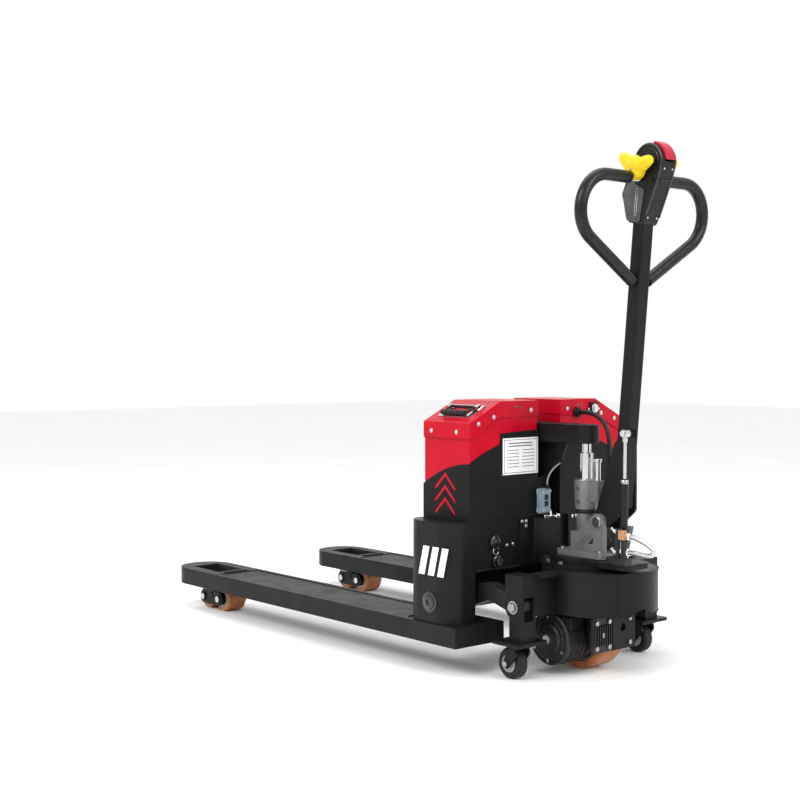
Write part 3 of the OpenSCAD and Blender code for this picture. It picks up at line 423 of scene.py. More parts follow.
def headTree(name, sides, domed):
    # screw or bolt heads on points, each turned to its point's "facing" vector
    tree, groupIn, groupOut = newTree(name, [("Head Radius", "Float"), ("Head Height", "Float"),
                                             ("Recess", "Float"), ("Finish", "Material")])
    radius, height, recess = (groupIn.outputs[label] for label in ("Head Radius", "Head Height", "Recess"))
    head = addNode(tree, "GeometryNodeMeshCylinder", {"Vertices": sides, "Radius": radius, "Depth": height})
    body = head.outputs["Mesh"]
    if domed:
        ball = addNode(tree, "GeometryNodeMeshUVSphere", {"Segments": sides, "Rings": 12, "Radius": radius})
        flat = addNode(tree, "GeometryNodeTransform", {"Scale": (0.94, 0.94, 0.55),
                                                       "Geometry": ball.outputs["Mesh"]})
        both = addNode(tree, "GeometryNodeMeshBoolean", operation="UNION")
        tree.links.new(body, both.inputs["Mesh 2"])
        tree.links.new(flat.outputs["Geometry"], both.inputs["Mesh 2"])
        body = both.outputs["Mesh"]
    cut = addNode(tree, "GeometryNodeMeshBoolean", {"Mesh 1": body}, operation="DIFFERENCE")
    barThin = 0.22                     # cross recess cut from the top, as parts of its length
    barRise = 0.62 if domed else 0.5
    for turn in (0.0, math.pi / 2):
        thin = addNode(tree, "ShaderNodeMath", {0: recess, 1: barThin}, operation="MULTIPLY")
        size = addNode(tree, "ShaderNodeCombineXYZ", {"X": recess, "Y": thin.outputs["Value"], "Z": recess})
        bar = addNode(tree, "GeometryNodeMeshCube", {"Size": size.outputs["Vector"]})
        rise = addNode(tree, "ShaderNodeMath", {0: recess, 1: barRise, 2: height}, operation="MULTIPLY_ADD")
        up = addNode(tree, "ShaderNodeCombineXYZ", {"Z": rise.outputs["Value"]})
        lift = addNode(tree, "GeometryNodeTransform", {"Translation": up.outputs["Vector"],
                                                       "Rotation": (0, 0, turn),
                                                       "Geometry": bar.outputs["Mesh"]})
        tree.links.new(lift.outputs["Geometry"], cut.inputs["Mesh 2"])
    facing = addNode(tree, "GeometryNodeInputNamedAttribute", {"Name": "facing"}, data_type="FLOAT_VECTOR")
    turned = addNode(tree, "FunctionNodeAlignRotationToVector", {"Vector": facing.outputs["Attribute"]},
                     axis="Z")
    place = addNode(tree, "GeometryNodeInstanceOnPoints", {"Points": groupIn.outputs["Geometry"],
                                                           "Instance": cut.outputs["Mesh"],
                                                           "Rotation": turned.outputs["Rotation"]})
    return endTree(tree, place.outputs["Instances"], groupIn, groupOut)


def weldTree():
    # overlapping puddles along an edge path
    tree, groupIn, groupOut = newTree("weldBead", [("Bead Radius", "Float"), ("Pitch", "Float"),
                                                   ("Seed", "Int"), ("Finish", "Material")])
    given = groupIn.outputs
    path = addNode(tree, "GeometryNodeMeshToCurve", {"Mesh": given["Geometry"]})
    evenly = addNode(tree, "GeometryNodeResampleCurve", {"Curve": path.outputs["Curve"],
                                                         "Length": given["Pitch"]}, mode="LENGTH")
    puddle = addNode(tree, "GeometryNodeMeshIcoSphere", {"Subdivisions": 2, "Radius": given["Bead Radius"]})
    size = addNode(tree, "FunctionNodeRandomValue", {"Seed": given["Seed"]}, data_type="FLOAT")
    for socket in size.inputs:
        if socket.type == "VALUE" and socket.name in ("Min", "Max"):
            socket.default_value = 0.82 if socket.name == "Min" else 1.12
    place = addNode(tree, "GeometryNodeInstanceOnPoints", {
        "Points": evenly.outputs["Curve"], "Instance": puddle.outputs["Mesh"],
        "Scale": next(s for s in size.outputs if s.type == "VALUE")})
    return endTree(tree, place.outputs["Instances"], groupIn, groupOut)


def ruleTree():
    # rows of short raised dashes: a blank form with no words
    tree, groupIn, groupOut = newTree("ruledRows", [("Rows", "Int"), ("Row Pitch", "Float"), ("Length",
                                                                                              "Float"),
                                                    ("Line Height", "Float"), ("Relief", "Float"),
                                                    ("Finish", "Material")])
    given = groupIn.outputs
    down = addNode(tree, "ShaderNodeMath", {0: given["Row Pitch"], 1: -1}, operation="MULTIPLY")
    step = addNode(tree, "ShaderNodeCombineXYZ", {"Z": down.outputs["Value"]})
    rows = addNode(tree, "GeometryNodeMeshLine", {"Count": given["Rows"], "Offset": step.outputs["Vector"]},
                   mode="OFFSET")
    size = addNode(tree, "ShaderNodeCombineXYZ", {"X": given["Relief"], "Y": given["Length"],
                                                  "Z": given["Line Height"]})
    dash = addNode(tree, "GeometryNodeMeshCube", {"Size": size.outputs["Vector"]})
    stack = addNode(tree, "GeometryNodeInstanceOnPoints", {"Points": rows.outputs["Mesh"],
                                                           "Instance": dash.outputs["Mesh"]})
    columns = addNode(tree, "GeometryNodeInstanceOnPoints", {"Points": given["Geometry"],
                                                             "Instance": stack.outputs["Instances"]})
    return endTree(tree, columns.outputs["Instances"], groupIn, groupOut)


trees = {"pan": headTree("panHeads", 28, True), "hex": headTree("hexHeads", 6, False),
         "cap": headTree("capHeads", 32, False), "weld": weldTree(), "rules": ruleTree()}


def grow(tree, name, points, edges, body, finish, slot, facing=None, **inputs):
    base = bpy.data.meshes.new(name)
    base.from_pydata([tuple(p) for p in points], edges, [])
    if facing:
        held = base.attributes.new("facing", "FLOAT_VECTOR", "POINT")
        for item, direction in zip(held.data, facing):
            item.vector = direction
    inputs["Finish"] = finishes[finish]
    sockets = {item.name: item.identifier for item in trees[tree].interface.items_tree
               if item.item_type == "SOCKET" and item.in_out == "INPUT"}

    def setUp(holder):
        made = holder.modifiers.new("grown", "NODES")
        made.node_group = trees[tree]
        for label, number in inputs.items():
            made[sockets[label.replace("_", " ")]] = number
    mesh = baked(base, setUp)
    bm = bmesh.new()
    bm.from_mesh(mesh)
    return addPiece(name, meshFrom(bm, name), body, finish)


noRecess = 0.01        # mm; a cut too small to see


def heads(kind, name, places, facing, body, radius, height, recess=noRecess, finish="zinc"):
    # all heads of one kind on one body, sizes in mm
    directions = facing if isinstance(facing, list) else [facing] * len(places)
    seats = [Vector(p) + Vector(d) * (height * mm / 2) for p, d in zip(places, directions)]
    return grow(kind, name, seats, [], body, finish, "zinc", directions,
                Head_Radius=radius * mm, Head_Height=height * mm, Recess=recess * mm)


def weld(name, path, body, seed, radius=2.8, pitch=3.0):
    return grow("weld", name, path, [(k, k + 1) for k in range(len(path) - 1)], body, "frame", "frame_black",
                Bead_Radius=radius * mm, Pitch=pitch * mm, Seed=seed)


# camera, light and floor

view = {"lens": 61.68, "heading": 49.801, "down": 1.967, "fromHeel": 2.36225, "side": -2.50873,
        "height": 0.76868}
cameraData = bpy.data.cameras.new("camera")
cameraData.lens = view["lens"]
cameraData.sensor_width = 36
camera = bpy.data.objects.new("camera", cameraData)
camera.location = (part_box("fork_left")[1].x + view["fromHeel"], view["side"], view["height"])
camera.rotation_euler = (math.radians(90 - view["down"]), 0, math.radians(view["heading"]))
bpy.context.scene.collection.objects.link(camera)
bpy.context.scene.camera = camera

world = bpy.data.worlds.new("studio")
world.use_nodes = True
world.node_tree.nodes["Background"].inputs["Color"].default_value = (1, 1, 1, 1)
world.node_tree.nodes["Background"].inputs["Strength"].default_value = 1.0
bpy.context.scene.world = world
bpy.context.scene.view_settings.view_transform = "Standard"


def softLight(name, place, target, size, power):
    lampData = bpy.data.lights.new(name, "AREA")
    lampData.shape = "RECTANGLE"
    lampData.size, lampData.size_y = size
    lampData.energy = power
    lamp = bpy.data.objects.new(name, lampData)
    lamp.location = place
    lamp.rotation_euler = (Vector(target) - Vector(place)).to_track_quat("-Z", "Y").to_euler()
    bpy.context.scene.collection.objects.link(lamp)


softLight("keyLight", (0.6, -3.4, 3.0), (0.3, 0, 0.4), (2.4, 1.6), 95)
softLight("rearLight", (3.6, 0.6, 2.4), (0.4, 0, 0.5), (1.6, 2.2), 60)
softLight("topLight", (-0.2, 0.2, 4.0), (0, 0, 0), (3.2, 2.0), 45)

floorSize = 14
bm = bmesh.new()
corners = [bm.verts.new((x * floorSize, y * floorSize, 0)) for x, y in ((-1, -1), (1, -1), (1, 1), (-1, 1))]
bm.faces.new(corners)
floorMesh = bpy.data.meshes.new("floor")
bm.to_mesh(floorMesh)
bm.free()
floor = bpy.data.objects.new("floor", floorMesh)
floorFinish, floorTree, shader = newFinish("floorPaper", 0.7, specular=0.2)
tone = noiseOf(floorTree, objectPoint(floorTree), 3, 3)
floorTree.links.new(ramped(floorTree, tone, (0.90, 0.90, 0.90), (0.93, 0.93, 0.93)),
                    shader.inputs["Base Color"])
floorMesh.materials.append(floorFinish)
bpy.context.scene.collection.objects.link(floor)
print("camera, light and floor ready")


# CAD nodes that keep their shape, with broken edges

edged = {
    "base_frame": ("frame", 1.6),
    "caster_fork_left": ("frame", 1.0), "caster_fork_right": ("frame", 1.0),
    "caster_wheel_left": ("rubber", 1.0), "caster_wheel_right": ("rubber", 1.0),
    "turntable": ("frame", 2.0), "pump_body": ("cast", 2.0), "pump_collar": ("cast", 2.0),
    "pump_plunger": ("chrome", 1.0),
    "gearbox": ("castBlack", 1.6), "wheel_bracket": ("frame", 1.6),
    "drive_tyre": ("tread", 1.0), "drive_hub": ("steel", 1.2), "tiller_pin": ("chrome", 0.8),
    "tiller_base": ("frame", 1.2), "tiller_tube": ("frame", 1.0), "handle_loops": ("grip", 0.0),
    "head_housing": ("black", 2.5),
    "belly_button": ("redKey", 1.8), "gas_cylinder": ("black", 0.8), "gas_rod": ("zinc", 0.6),
    "fork_left": ("fork", 2.5), "fork_right": ("fork", 2.5), "frame_box": ("frame", 1.2),
    "tower_cover_left": ("red", 1.2), "tower_cover_right": ("red", 1.2),
    "tower_wrap_left": ("wrap", 0.5), "tower_wrap_right": ("wrap", 0.5),
    "tower_cap_left": ("red", 0.8), "tower_cap_right": ("red", 0.8),
    "lift_head": ("frame", 1.6), "data_plate": ("plate", 0.3), "grip_plate": ("chrome", 0.5),
    "grip_bail": ("rubber", 0.8), "charge_socket": ("black", 1.0),
    "ram_rod": ("chrome", 0.8),
    "battery": ("black", 2.0), "controller": ("zinc", 1.5), "torsion_tube": ("castBlack", 1.6),
    "push_rods": ("frame", 0.6), "roller_arm_left": ("frame", 0.8), "roller_arm_right": ("frame", 0.8),
    "bogie_left": ("frame", 0.8), "bogie_right": ("frame", 0.8), "load_roller_1": ("tread", 1.0),
    "load_roller_2": ("tread", 1.0), "load_roller_3": ("tread", 1.0), "load_roller_4": ("tread", 1.0),
}
for node, (finish, width) in edged.items():
    softNode(node, finish, width)
print("CAD nodes edged:", len(edged))
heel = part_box("fork_left")[1].x        # rear end of the forks; places below are mm from here


def at(x, y, z):
    return Vector((heel + x * mm, y * mm, z * mm))


def jointPlace(name):
    joint = next(row for row in frame["joints"] if row["name"] == name)
    return Vector(joint["pos_m"])


# tower caps and their screws

capLow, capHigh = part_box("tower_cap_left")
screw = {"radius": 4.4, "height": 2.2, "recess": 4.0, "washer": 5.8, "washerThick": 0.9}
seats, directions = [], []
for side in (-1, 1):
    for y, z in ((side * 245, 598), (side * 194, 613), (side * 66, 627)):
        seats.append(Vector((capHigh.x, y * mm, z * mm)))
        directions.append((1, 0, 0))
        seats.append(Vector((capLow.x, y * mm, z * mm)))
        directions.append((-1, 0, 0))
    for x in (capLow.x + 30 * mm, capHigh.x - 45 * mm):
        seats.append(Vector((x, side * abs(capLow.y), 578 * mm)))
        directions.append((0, side, 0))
capScrews = heads("pan", "cap_screw_heads", seats, directions, "lift_frame",
                  screw["radius"], screw["height"], screw["recess"])
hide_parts("cover_screws")
heads("cap", "cap_screw_washers", seats, directions, "lift_frame", screw["washer"], screw["washerThick"])
bm = bmesh.new()
for side in (-1, 1):                   # two blind vent holes beside the rear seam, as recessed cups in dark ink: painted shade for the depth of the holes
    for y in (120, 104):
        addTurned(bm, [(0, 3), (0.5, 3.4), (0.5, 2.2), (0.1, 0.1)],
                  (capHigh.x, side * y * mm, 636 * mm), (1, 0, 0), 20)
grownPiece("cap_holes_painted_shade", bm, "lift_frame", "ink", "black_plastic")
for side, name in ((-1, "left"), (1, "right")):        # folded seam under the skirt
    y0 = side * abs(capLow.y)
    seam = [Vector((capLow.x, y0, 560.5 * mm)), Vector((capHigh.x, y0, 560.5 * mm)),
            Vector((capHigh.x, y0 * 0.62, 612.5 * mm)), Vector((capHigh.x, side * 42 * mm, 612.5 * mm))]
    tubePiece("cap_lip_" + name, zip(seam, seam[1:]), 1.1, 8, "lift_frame", "red", "cover_red")

# chevrons: raised red bars on the side of each wrap

chevron = {"foot": 405, "pitch": 30, "half": 41, "drop": 35, "thick": 13, "relief": 1.2, "back": 4}
for side, name in ((-1, "left"), (1, "right")):
    bm = bmesh.new()
    origin = Vector(((capLow.x + capHigh.x) / 2 - chevron["back"] * mm, side * (abs(capLow.y) - 2.2 * mm), 0))
    for row in range(3):
        z = chevron["foot"] + row * chevron["pitch"]
        for hand in (-chevron["half"], chevron["half"]):
            outline = [(0, z), (0, z + chevron["thick"]), (hand, z + chevron["thick"] - chevron["drop"]),
                       (hand, z - chevron["drop"])]
            addPrism(bm, outline, origin, (1, 0, 0), (0, 0, 1), -side * chevron["relief"])
    grownPiece("chevrons_" + name, bm, "lift_frame", "red", "cover_red")

# data plate: a blank printed form

plateLow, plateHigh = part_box("data_plate")
plateFace = plateHigh.x + 0.1 * mm
bm = bmesh.new()
inset, line = 4 * mm, 1.3 * mm
left, right = plateLow.y + inset, plateHigh.y - inset
foot, top = plateLow.z + inset, plateHigh.z - inset
for low, high in (((left, foot), (right, foot + line)), ((left, top - line), (right, top)),
                  ((left, foot), (left + line, top)), ((right - line, foot), (right, top))):
    addBlock(bm, (plateFace - 0.2 * mm, low[0], low[1]), (plateFace + 0.15 * mm, high[0], high[1]))
grownPiece("plate_border", bm, "lift_frame", "ink", "plate_white")
wide = right - left
grow("rules", "plate_heading", [(plateFace, (left + right) / 2, top - 9 * mm)], [], "lift_frame", "ink",
     "plate_white", Rows=2, Row_Pitch=7 * mm, Length=wide * 0.72, Line_Height=2.6 * mm, Relief=0.4 * mm)
grow("rules", "plate_rows", [(plateFace, left + wide * 0.27, top - 26 * mm),
                             (plateFace, left + wide * 0.73, top - 26 * mm)], [], "lift_frame", "ink",
     "plate_white", Rows=6, Row_Pitch=8.2 * mm, Length=wide * 0.36, Line_Height=1.5 * mm, Relief=0.4 * mm)
rivets = [(plateHigh.x, y, z) for y in (plateLow.y + 3 * mm, plateHigh.y - 3 * mm)
          for z in (plateLow.z + 3 * mm, plateHigh.z - 3 * mm)]
heads("cap", "plate_rivets", rivets, (1, 0, 0), "lift_frame", 1.6, 0.8)

# slanted bars on the frame sides, in place of a load mark

boxLow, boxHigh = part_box("frame_box")
mark = {"x": -139, "z": 234, "bar": 22, "pitch": 34, "lean": 18, "height": 70, "relief": 0.35}
for side, name in ((-1, "left"), (1, "right")):
    bm = bmesh.new()
    y = side * (abs(boxLow.y) + 0.05 * mm)
    for bar in range(3):
        u = mark["x"] + bar * mark["pitch"]
        outline = [(u, mark["z"]), (u + mark["bar"], mark["z"]),
                   (u + mark["bar"] + mark["lean"], mark["z"] + mark["height"]),
                   (u + mark["lean"], mark["z"] + mark["height"])]
        addPrism(bm, outline, (heel, y, 0), (1, 0, 0), (0, 0, 1), -side * mark["relief"])
    grownPiece("side_bars_" + name, bm, "lift_frame", "white", "plate_white")
print("covers and plates done")

# frame box: welds, shaft nut, rear fittings

rear = boxHigh.x
weld("weld_rear_left", [(rear - 1 * mm, -250 * mm, 243.5 * mm), (rear - 1 * mm, -104 * mm, 243.5 * mm)],
     "lift_frame", seed=5)
weld("weld_rear_right", [(rear - 1 * mm, 104 * mm, 243.5 * mm), (rear - 1 * mm, 250 * mm, 243.5 * mm)],
     "lift_frame", seed=6)
for side, seed in ((-1, 7), (1, 8)):
    weld("weld_head_%s" % ("left" if side < 0 else "right"),
         [(heel - 59.5 * mm, side * 31 * mm, 549 * mm), (heel - 59.5 * mm, side * 31 * mm, 593 * mm)],
         "lift_frame", seed=seed)
    weld("weld_fork_%s" % ("left" if side < 0 else "right"),
         [(heel - 190 * mm, side * 200 * mm, 119.5 * mm), (heel - 190 * mm, side * 322 * mm, 119.5 * mm)],
         "lift_frame", seed=seed + 10)
shaft = jointPlace("rocker_turn")
bm = bmesh.new()
for side in (-1, 1):                   # castle nut with a bored end, on a dished washer
    face = Vector((shaft.x, side * (abs(boxLow.y) + 0.3 * mm), shaft.z))
    addTurned(bm, [(0, 24), (1.6, 25.5), (3, 22), (3, 18.5)], face, (0, side, 0), 48)
    addTurned(bm, [(2.5, 16), (3.4, 19), (6.6, 19), (8.2, 16), (8.2, 8.5),
                   (4, 8)], face - Vector((0, side * 2.0 * mm, 0)), (0, side, 0), 6)
grownPiece("shaft_nuts", bm, "lift_frame", "gloss", "black_plastic", 0.5)
bm = bmesh.new()
plug = at(0, -192, 310)
plug.x = rear + 0.3 * mm
addTurned(bm, [(0, 15.5), (4, 16), (6.5, 13), (7.2, 5), (10, 4.5),
               (11.2, 2)], plug, (1, 0, 0), 40)
cap = at(0, -184, 262)
cap.x = rear + 0.3 * mm
addTurned(bm, [(0, 14.5), (3, 15), (5, 12), (5.2, 10)], cap, (1, 0, 0), 32)
addTurned(bm, [(4, 10.5), (6, 11.5), (15, 11), (17.5, 8.5)], cap,
          (1, -0.18, 0.12), 6)
grownPiece("rear_plugs", bm, "lift_frame", "gloss", "black_plastic", 0.4)
ring = at(0, -188, 287)
ring.x = rear + 1.6 * mm
turn = [math.radians(a) for a in range(20, 341, 10)]
tubePiece("split_ring", [[ring + Vector((0.0, 0.0085 * math.cos(a), 0.0085 * math.sin(a))) for a in turn]],
          1.3, 10, "lift_frame", "zinc", "black_plastic")
fittings = heads("pan", "rear_screws", [(rear, y * mm, z * mm) for y, z in
                 ((-150, 298), (-130, 300), (-98, 352), (-84, 352), (-84, 340), (98, 352), (84, 352))],
                 (1, 0, 0), "lift_frame", 4.6, 1.8, 4.0)
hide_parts("frame_fittings")
bm = bmesh.new()
for side in (-1, 1):                   # folded edge of the rear door and its standing strip
    addBlock(bm, (rear - 0.2 * mm, side * 62 * mm - 2 * mm, 250 * mm),
             (rear + 10 * mm, side * 62 * mm + 2 * mm, 359 * mm))
addBlock(bm, (rear - 0.2 * mm, -66 * mm, 356 * mm), (rear + 8 * mm, -20 * mm, 360 * mm))
grownPiece("door_edges", bm, "lift_frame", "frame", "black_plastic", 0.8)
print("frame box done")

# limit switch: die-cast body, cover with a dark window, roller arm

switchLow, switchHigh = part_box("limit_switch")
body = {"cover": 4 * mm, "tall": 62 * mm}
centre = middle("limit_switch")
bm = bmesh.new()
addBlock(bm, (switchLow.x, switchLow.y, switchLow.z), (switchHigh.x - body["cover"], switchHigh.y,
                                                       switchLow.z + body["tall"]))
for shelf in (0.12, 0.88):
    z = switchLow.z + body["tall"] * shelf
    addBlock(bm, (switchLow.x, switchLow.y - 2 * mm, z - 5 * mm), (switchLow.x + 7 * mm,
                                                                   switchHigh.y + 2 * mm,
                                                                    z + 5 * mm))
grownPiece("switch_case", bm, "lift_frame", "switch", "switch_blue", 1.4, 3, ["limit_switch"])
bm = bmesh.new()
addBlock(bm, (switchHigh.x - body["cover"] + 0.2 * mm, switchLow.y + 2 * mm, switchLow.z + 3 * mm),
         (switchHigh.x, switchHigh.y - 2 * mm, switchLow.z + 59 * mm))
addBlock(bm, (switchLow.x + 3 * mm, switchLow.y - 2 * mm, switchLow.z + 12 * mm),
         (switchHigh.x - 6 * mm, switchLow.y + 1 * mm, switchLow.z + 50 * mm))
grownPiece("switch_cover", bm, "lift_frame", "switch", "switch_blue", 1.2, 3)
bm = bmesh.new()
for foot in (17, 33):                  # dark window, in two panes
    addBlock(bm, (switchHigh.x - 1 * mm, centre.y - 7 * mm, switchLow.z + foot * mm),
             (switchHigh.x + 0.5 * mm, centre.y + 7 * mm, switchLow.z + (foot + 14) * mm))
addTurned(bm, [(0, 4.6), (2, 4.6), (3, 4), (9, 4), (10, 2.8)],
          (heel - 8 * mm, -24 * mm, switchLow.z + body["tall"] - 1 * mm), (0, 0, 1), 28)
grownPiece("switch_window", bm, "lift_frame", "black", "black_plastic", 0.6)
heads("pan", "switch_screws", [(switchHigh.x, centre.y + s * 13 * mm, switchLow.z + z * mm)
                               for s in (-1, 1) for z in (7, 55)], (1, 0, 0), "lift_frame",
      2.6, 1.2, 2.2)
bm = bmesh.new()
arm = Vector((heel + 4 * mm, -20 * mm, switchLow.z - 9 * mm))
addTurned(bm, [(0, 5), (1, 6.2), (10, 6.2), (11.5, 4), (34, 4),
               (34.5, 8.8), (43, 8.8), (44, 7)], arm - Vector((0.012, 0.018, 0)), (0.3, 1, 0), 28)
addBlock(bm, arm + Vector((-8 * mm, -3 * mm, 0)), arm + Vector((-3 * mm, 3 * mm, 14 * mm)))
grownPiece("switch_roller", bm, "lift_frame", "chrome", "zinc", 0.4)

leadRoute = [(-8, -24, 438), (-8, -24, 448), (-7, -21, 460), (-6, -14, 471), (-5, -4, 480), (-4, 6, 487),
             (-3, 16, 492)]
tubePiece("switch_lead", [curvePoints([at(*p) for p in leadRoute], 5)], 2.1, 14, "lift_frame", "grey",
          "grey_plastic", stands=["switch_cable"])

# control cable: from the gland over to its plug behind the tiller

cableRadius = 5.5
cableRoute = [(-12, 100, 617), (10, 100, 618), (36, 98, 614), (61, 93, 605), (84, 85, 591),
              (103, 75, 572), (117, 65, 549), (125, 58, 525), (128, 56, 500), (128, 56, 488)]
cablePath = curvePoints([at(*p) for p in cableRoute], 3)
cablePiece = tubePiece("control_lead", [cablePath], cableRadius, 20, "lift_frame", "rubber", "black_rubber",
                       stands=["control_cable"])
bm = bmesh.new()
plugTop = at(*cableRoute[-1])
addTurned(bm, [(-4, 6.2), (0, 7.5), (3, 8.8), (12, 9), (12.5, 8),
               (15, 8), (15.5, 9), (31, 9), (34, 7.2)], plugTop, (0, 0, -1), 36)
plugPiece = grownPiece("control_plug", bm, "lift_frame", "black", "black_plastic", 0.3)
gland = Vector((capHigh.x + 0.3 * mm, 100 * mm, 617 * mm))
turnedPiece("gland_nut", [
    ([(0, 14), (1.2, 15), (5, 15), (6, 14)], gland, (1, 0, 0), 6),
    ([(5.5, 9.8), (9, 10.2), (12, 9.2), (12.8, 7)], gland, (1, 0, 0), 36)], "lift_frame", "black",
     "black_rubber", 0.4, stands=["cable_gland"])
socketLow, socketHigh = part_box("charge_socket")
heads("pan", "socket_screws", [(socketHigh.x - 5 * mm, (socketLow.y + socketHigh.y) / 2 + s * 19 * mm,
                                624 * mm)
                               for s in (-1, 1)], (1, 0, 0), "lift_frame", 3.4, 1.6, 3)
bm = bmesh.new()
mouth = Vector((socketHigh.x - 0.4 * mm, (socketLow.y + socketHigh.y) / 2, (socketLow.z + socketHigh.z) / 2))
addTurned(bm, [(0, 11.5), (1.6, 12), (2, 9.5), (0.6, 9)], mouth, (1, 0, 0), 36)
grownPiece("socket_ring", bm, "lift_frame", "zinc", "black_plastic")
print("switch and leads done")

# tiller head

pivot = jointPlace("tiller_tilt")
tiller = {"lean": math.radians(5), "headX": 63, "headZ": 855, "headRadius": 42, "headHalf": 24.5}
uTiller = Vector((math.cos(tiller["lean"]), 0, -math.sin(tiller["lean"])))
wTiller = Vector((math.sin(tiller["lean"]), 0, math.cos(tiller["lean"])))


def onTiller(x, y, z):
    # mm in the tiller's own leaned frame, pivot at the origin
    return pivot + uTiller * (x * mm) + Vector((0, y * mm, 0)) + wTiller * (z * mm)


panel = {"corners": [(4, 779, 10), (18, 725, 8), (43, 723, 9), (50, 786, 8), (16, 800, 9)], "thick": 2.6,
         "slot": (35, 730, 40, 792)}
rounds = [(x + r * math.cos(a), z + r * math.sin(a)) for x, z, r in panel["corners"]
          for a in (math.radians(15 * k) for k in range(24))]
panelOutline = [rounds[k] for k in convex_hull_2d([Vector(p) for p in rounds])]
for side, name in ((-1, "near"), (1, "far")):
    bm = bmesh.new()
    addPrism(bm, panelOutline, onTiller(0, side * (tiller["headHalf"] + 0.2), 0), uTiller, wTiller,
             -side * panel["thick"])
    stands = ["head_panels"] if side < 0 else []
    grownPiece("head_panel_" + name, bm, "tiller", "sidePanel", "grey_plastic", 1.1, 3, stands)
    x0, z0, x1, z1 = panel["slot"]
    face = side * (tiller["headHalf"] + panel["thick"])
    # the zinc rim round the slot is a painted highlight: light metal standing in for the light caught on the
    # slot's edge
    rim = [onTiller(x, face, z) for x, z in ((x0, z0), (x1, z0), (x1, z1), (x0, z1), (x0, z0))]
    tubePiece("slot_highlight_rim_" + name, zip(rim, rim[1:]), 0.9, 8, "tiller", "zinc", "grey_plastic")
    # the dark rubber floor of the slot is painted shade, standing in for the shade down in the slot
    bm = bmesh.new()
    addPrism(bm, [(x0, z0), (x1, z0), (x1, z1), (x0, z1)], onTiller(0, face + side * 0.25, 0), uTiller,
             wTiller, side * 0.6)
    grownPiece("slot_shade_floor_" + name, bm, "tiller", "rubber", "black_plastic")
    # moulded bead that runs over the head and down its rear edge
    bm = bmesh.new()
    arc = [math.radians(a) for a in range(150, -16, -6)]
    for inset, turns, foot, radius, sides in ((3.5, arc, ((96, 822), (82, 776), (66, 728)), 2.6, 12),
                                              (13, arc[4:-2], (), 1.4, 10)):
        reach = tiller["headRadius"] - inset
        bead = [(tiller["headX"] + reach * math.cos(a), tiller["headZ"] + reach * math.sin(a)) for a in turns]
        addTube(bm, curvePoints([onTiller(x, side * tiller["headHalf"], z) for x, z in (*bead, *foot)], 2),
                radius, sides)
    grownPiece("head_bead_" + name, bm, "tiller", "gloss", "black_plastic")
headScrews = [onTiller(101, 14, 838), onTiller(101, -14, 838), onTiller(64.5, -16, 726), onTiller(64.5, 16,
                                                                                                  726)]
heads("pan", "head_screws", [p + uTiller * 1.2 * mm for p in headScrews], tuple(uTiller), "tiller",
      2.4, 1.2, 2.0)
bm = bmesh.new()                        # rear cover line of the head
for z in (742, 812):
    half = 21 if z < 800 else 23
    x = 64 + (z - 716) * 0.36
    addTube(bm, [onTiller(x, -half, z), onTiller(x, half, z)], 0.8, 8)
grownPiece("head_joints", bm, "tiller", "gloss", "black_plastic")

# throttle wings: hub and two thumb lobes, moulded in one

wing = {"inner": 29.5, "hub": 24, "ear": 44, "voxel": 1.4 * mm, "smooth": 10}
shaftAt = jointPlace("throttle_turn")


def onThrottle(x, y, z):
    return shaftAt + uTiller * (x * mm) + Vector((0, y * mm, 0)) + wTiller * (z * mm)


def addLobe(bm, centre, *sizes):
    # a ball stretched along the leaned axes, sizes in mm
    made = bmesh.ops.create_uvsphere(bm, u_segments=24, v_segments=16, radius=1)
    bmesh.ops.transform(bm, verts=made["verts"],
                        matrix=Matrix.Translation(centre) @ Matrix.Rotation(tiller["lean"], 4, "Y")
                        @ Matrix.Diagonal((*(size * mm for size in sizes), 1)))


for side, name in ((-1, "near"), (1, "far")):
    bm = bmesh.new()
    addTurned(bm, [(0, wing["hub"] * 0.94), (3, wing["hub"]), (16, wing["hub"]), (23, wing["hub"] * 0.90),
                   (27.5, wing["hub"] * 0.6)],
              onThrottle(0, side * wing["inner"], 0), (0, side, 0), 40)
    for angle in (28, 140):            # thumb ears, broad at the root and narrowing to the tip
        turn = math.radians(angle)
        for along, radius, half in ((16, 18, 15), (26, 17, 14.5), (36, 15, 14), (44, 12.5, 13.5)):
            addLobe(bm, onThrottle(along * math.cos(turn), side * wing["ear"], along * math.sin(turn)),
                    radius, half, radius)
    addLobe(bm, onThrottle(0, side * wing["ear"], 22), 16, 12, 12)

    def setUp(holder):
        skin = holder.modifiers.new("one skin", "REMESH")
        skin.mode = "VOXEL"
        skin.voxel_size = wing["voxel"]
        ease = holder.modifiers.new("ease", "SMOOTH")
        ease.factor = 0.6
        ease.iterations = wing["smooth"]
    mesh = baked(meshFrom(bm, "wing"), setUp)
    bm = bmesh.new()
    bm.from_mesh(mesh)
    stands = ["throttle"] if side < 0 else []
    addPiece("throttle_wing_" + name, meshFrom(bm, "throttle_wing_" + name), "throttle", "yellow",
             stands)
    turnedPiece("throttle_boss_" + name, [
        ([(0, 3), (1.6, 3), (2.2, 1.8)], onThrottle(0, side * (wing["inner"] + 26.2), 0), (0, side, 0), 24),
        ([(0, 8.8), (5.5, 8.8)], onThrottle(0, side * 24.2, 0), (0, side, 0), 32)], "throttle", "steel",
         "zinc")
print("tiller head done")

# power unit

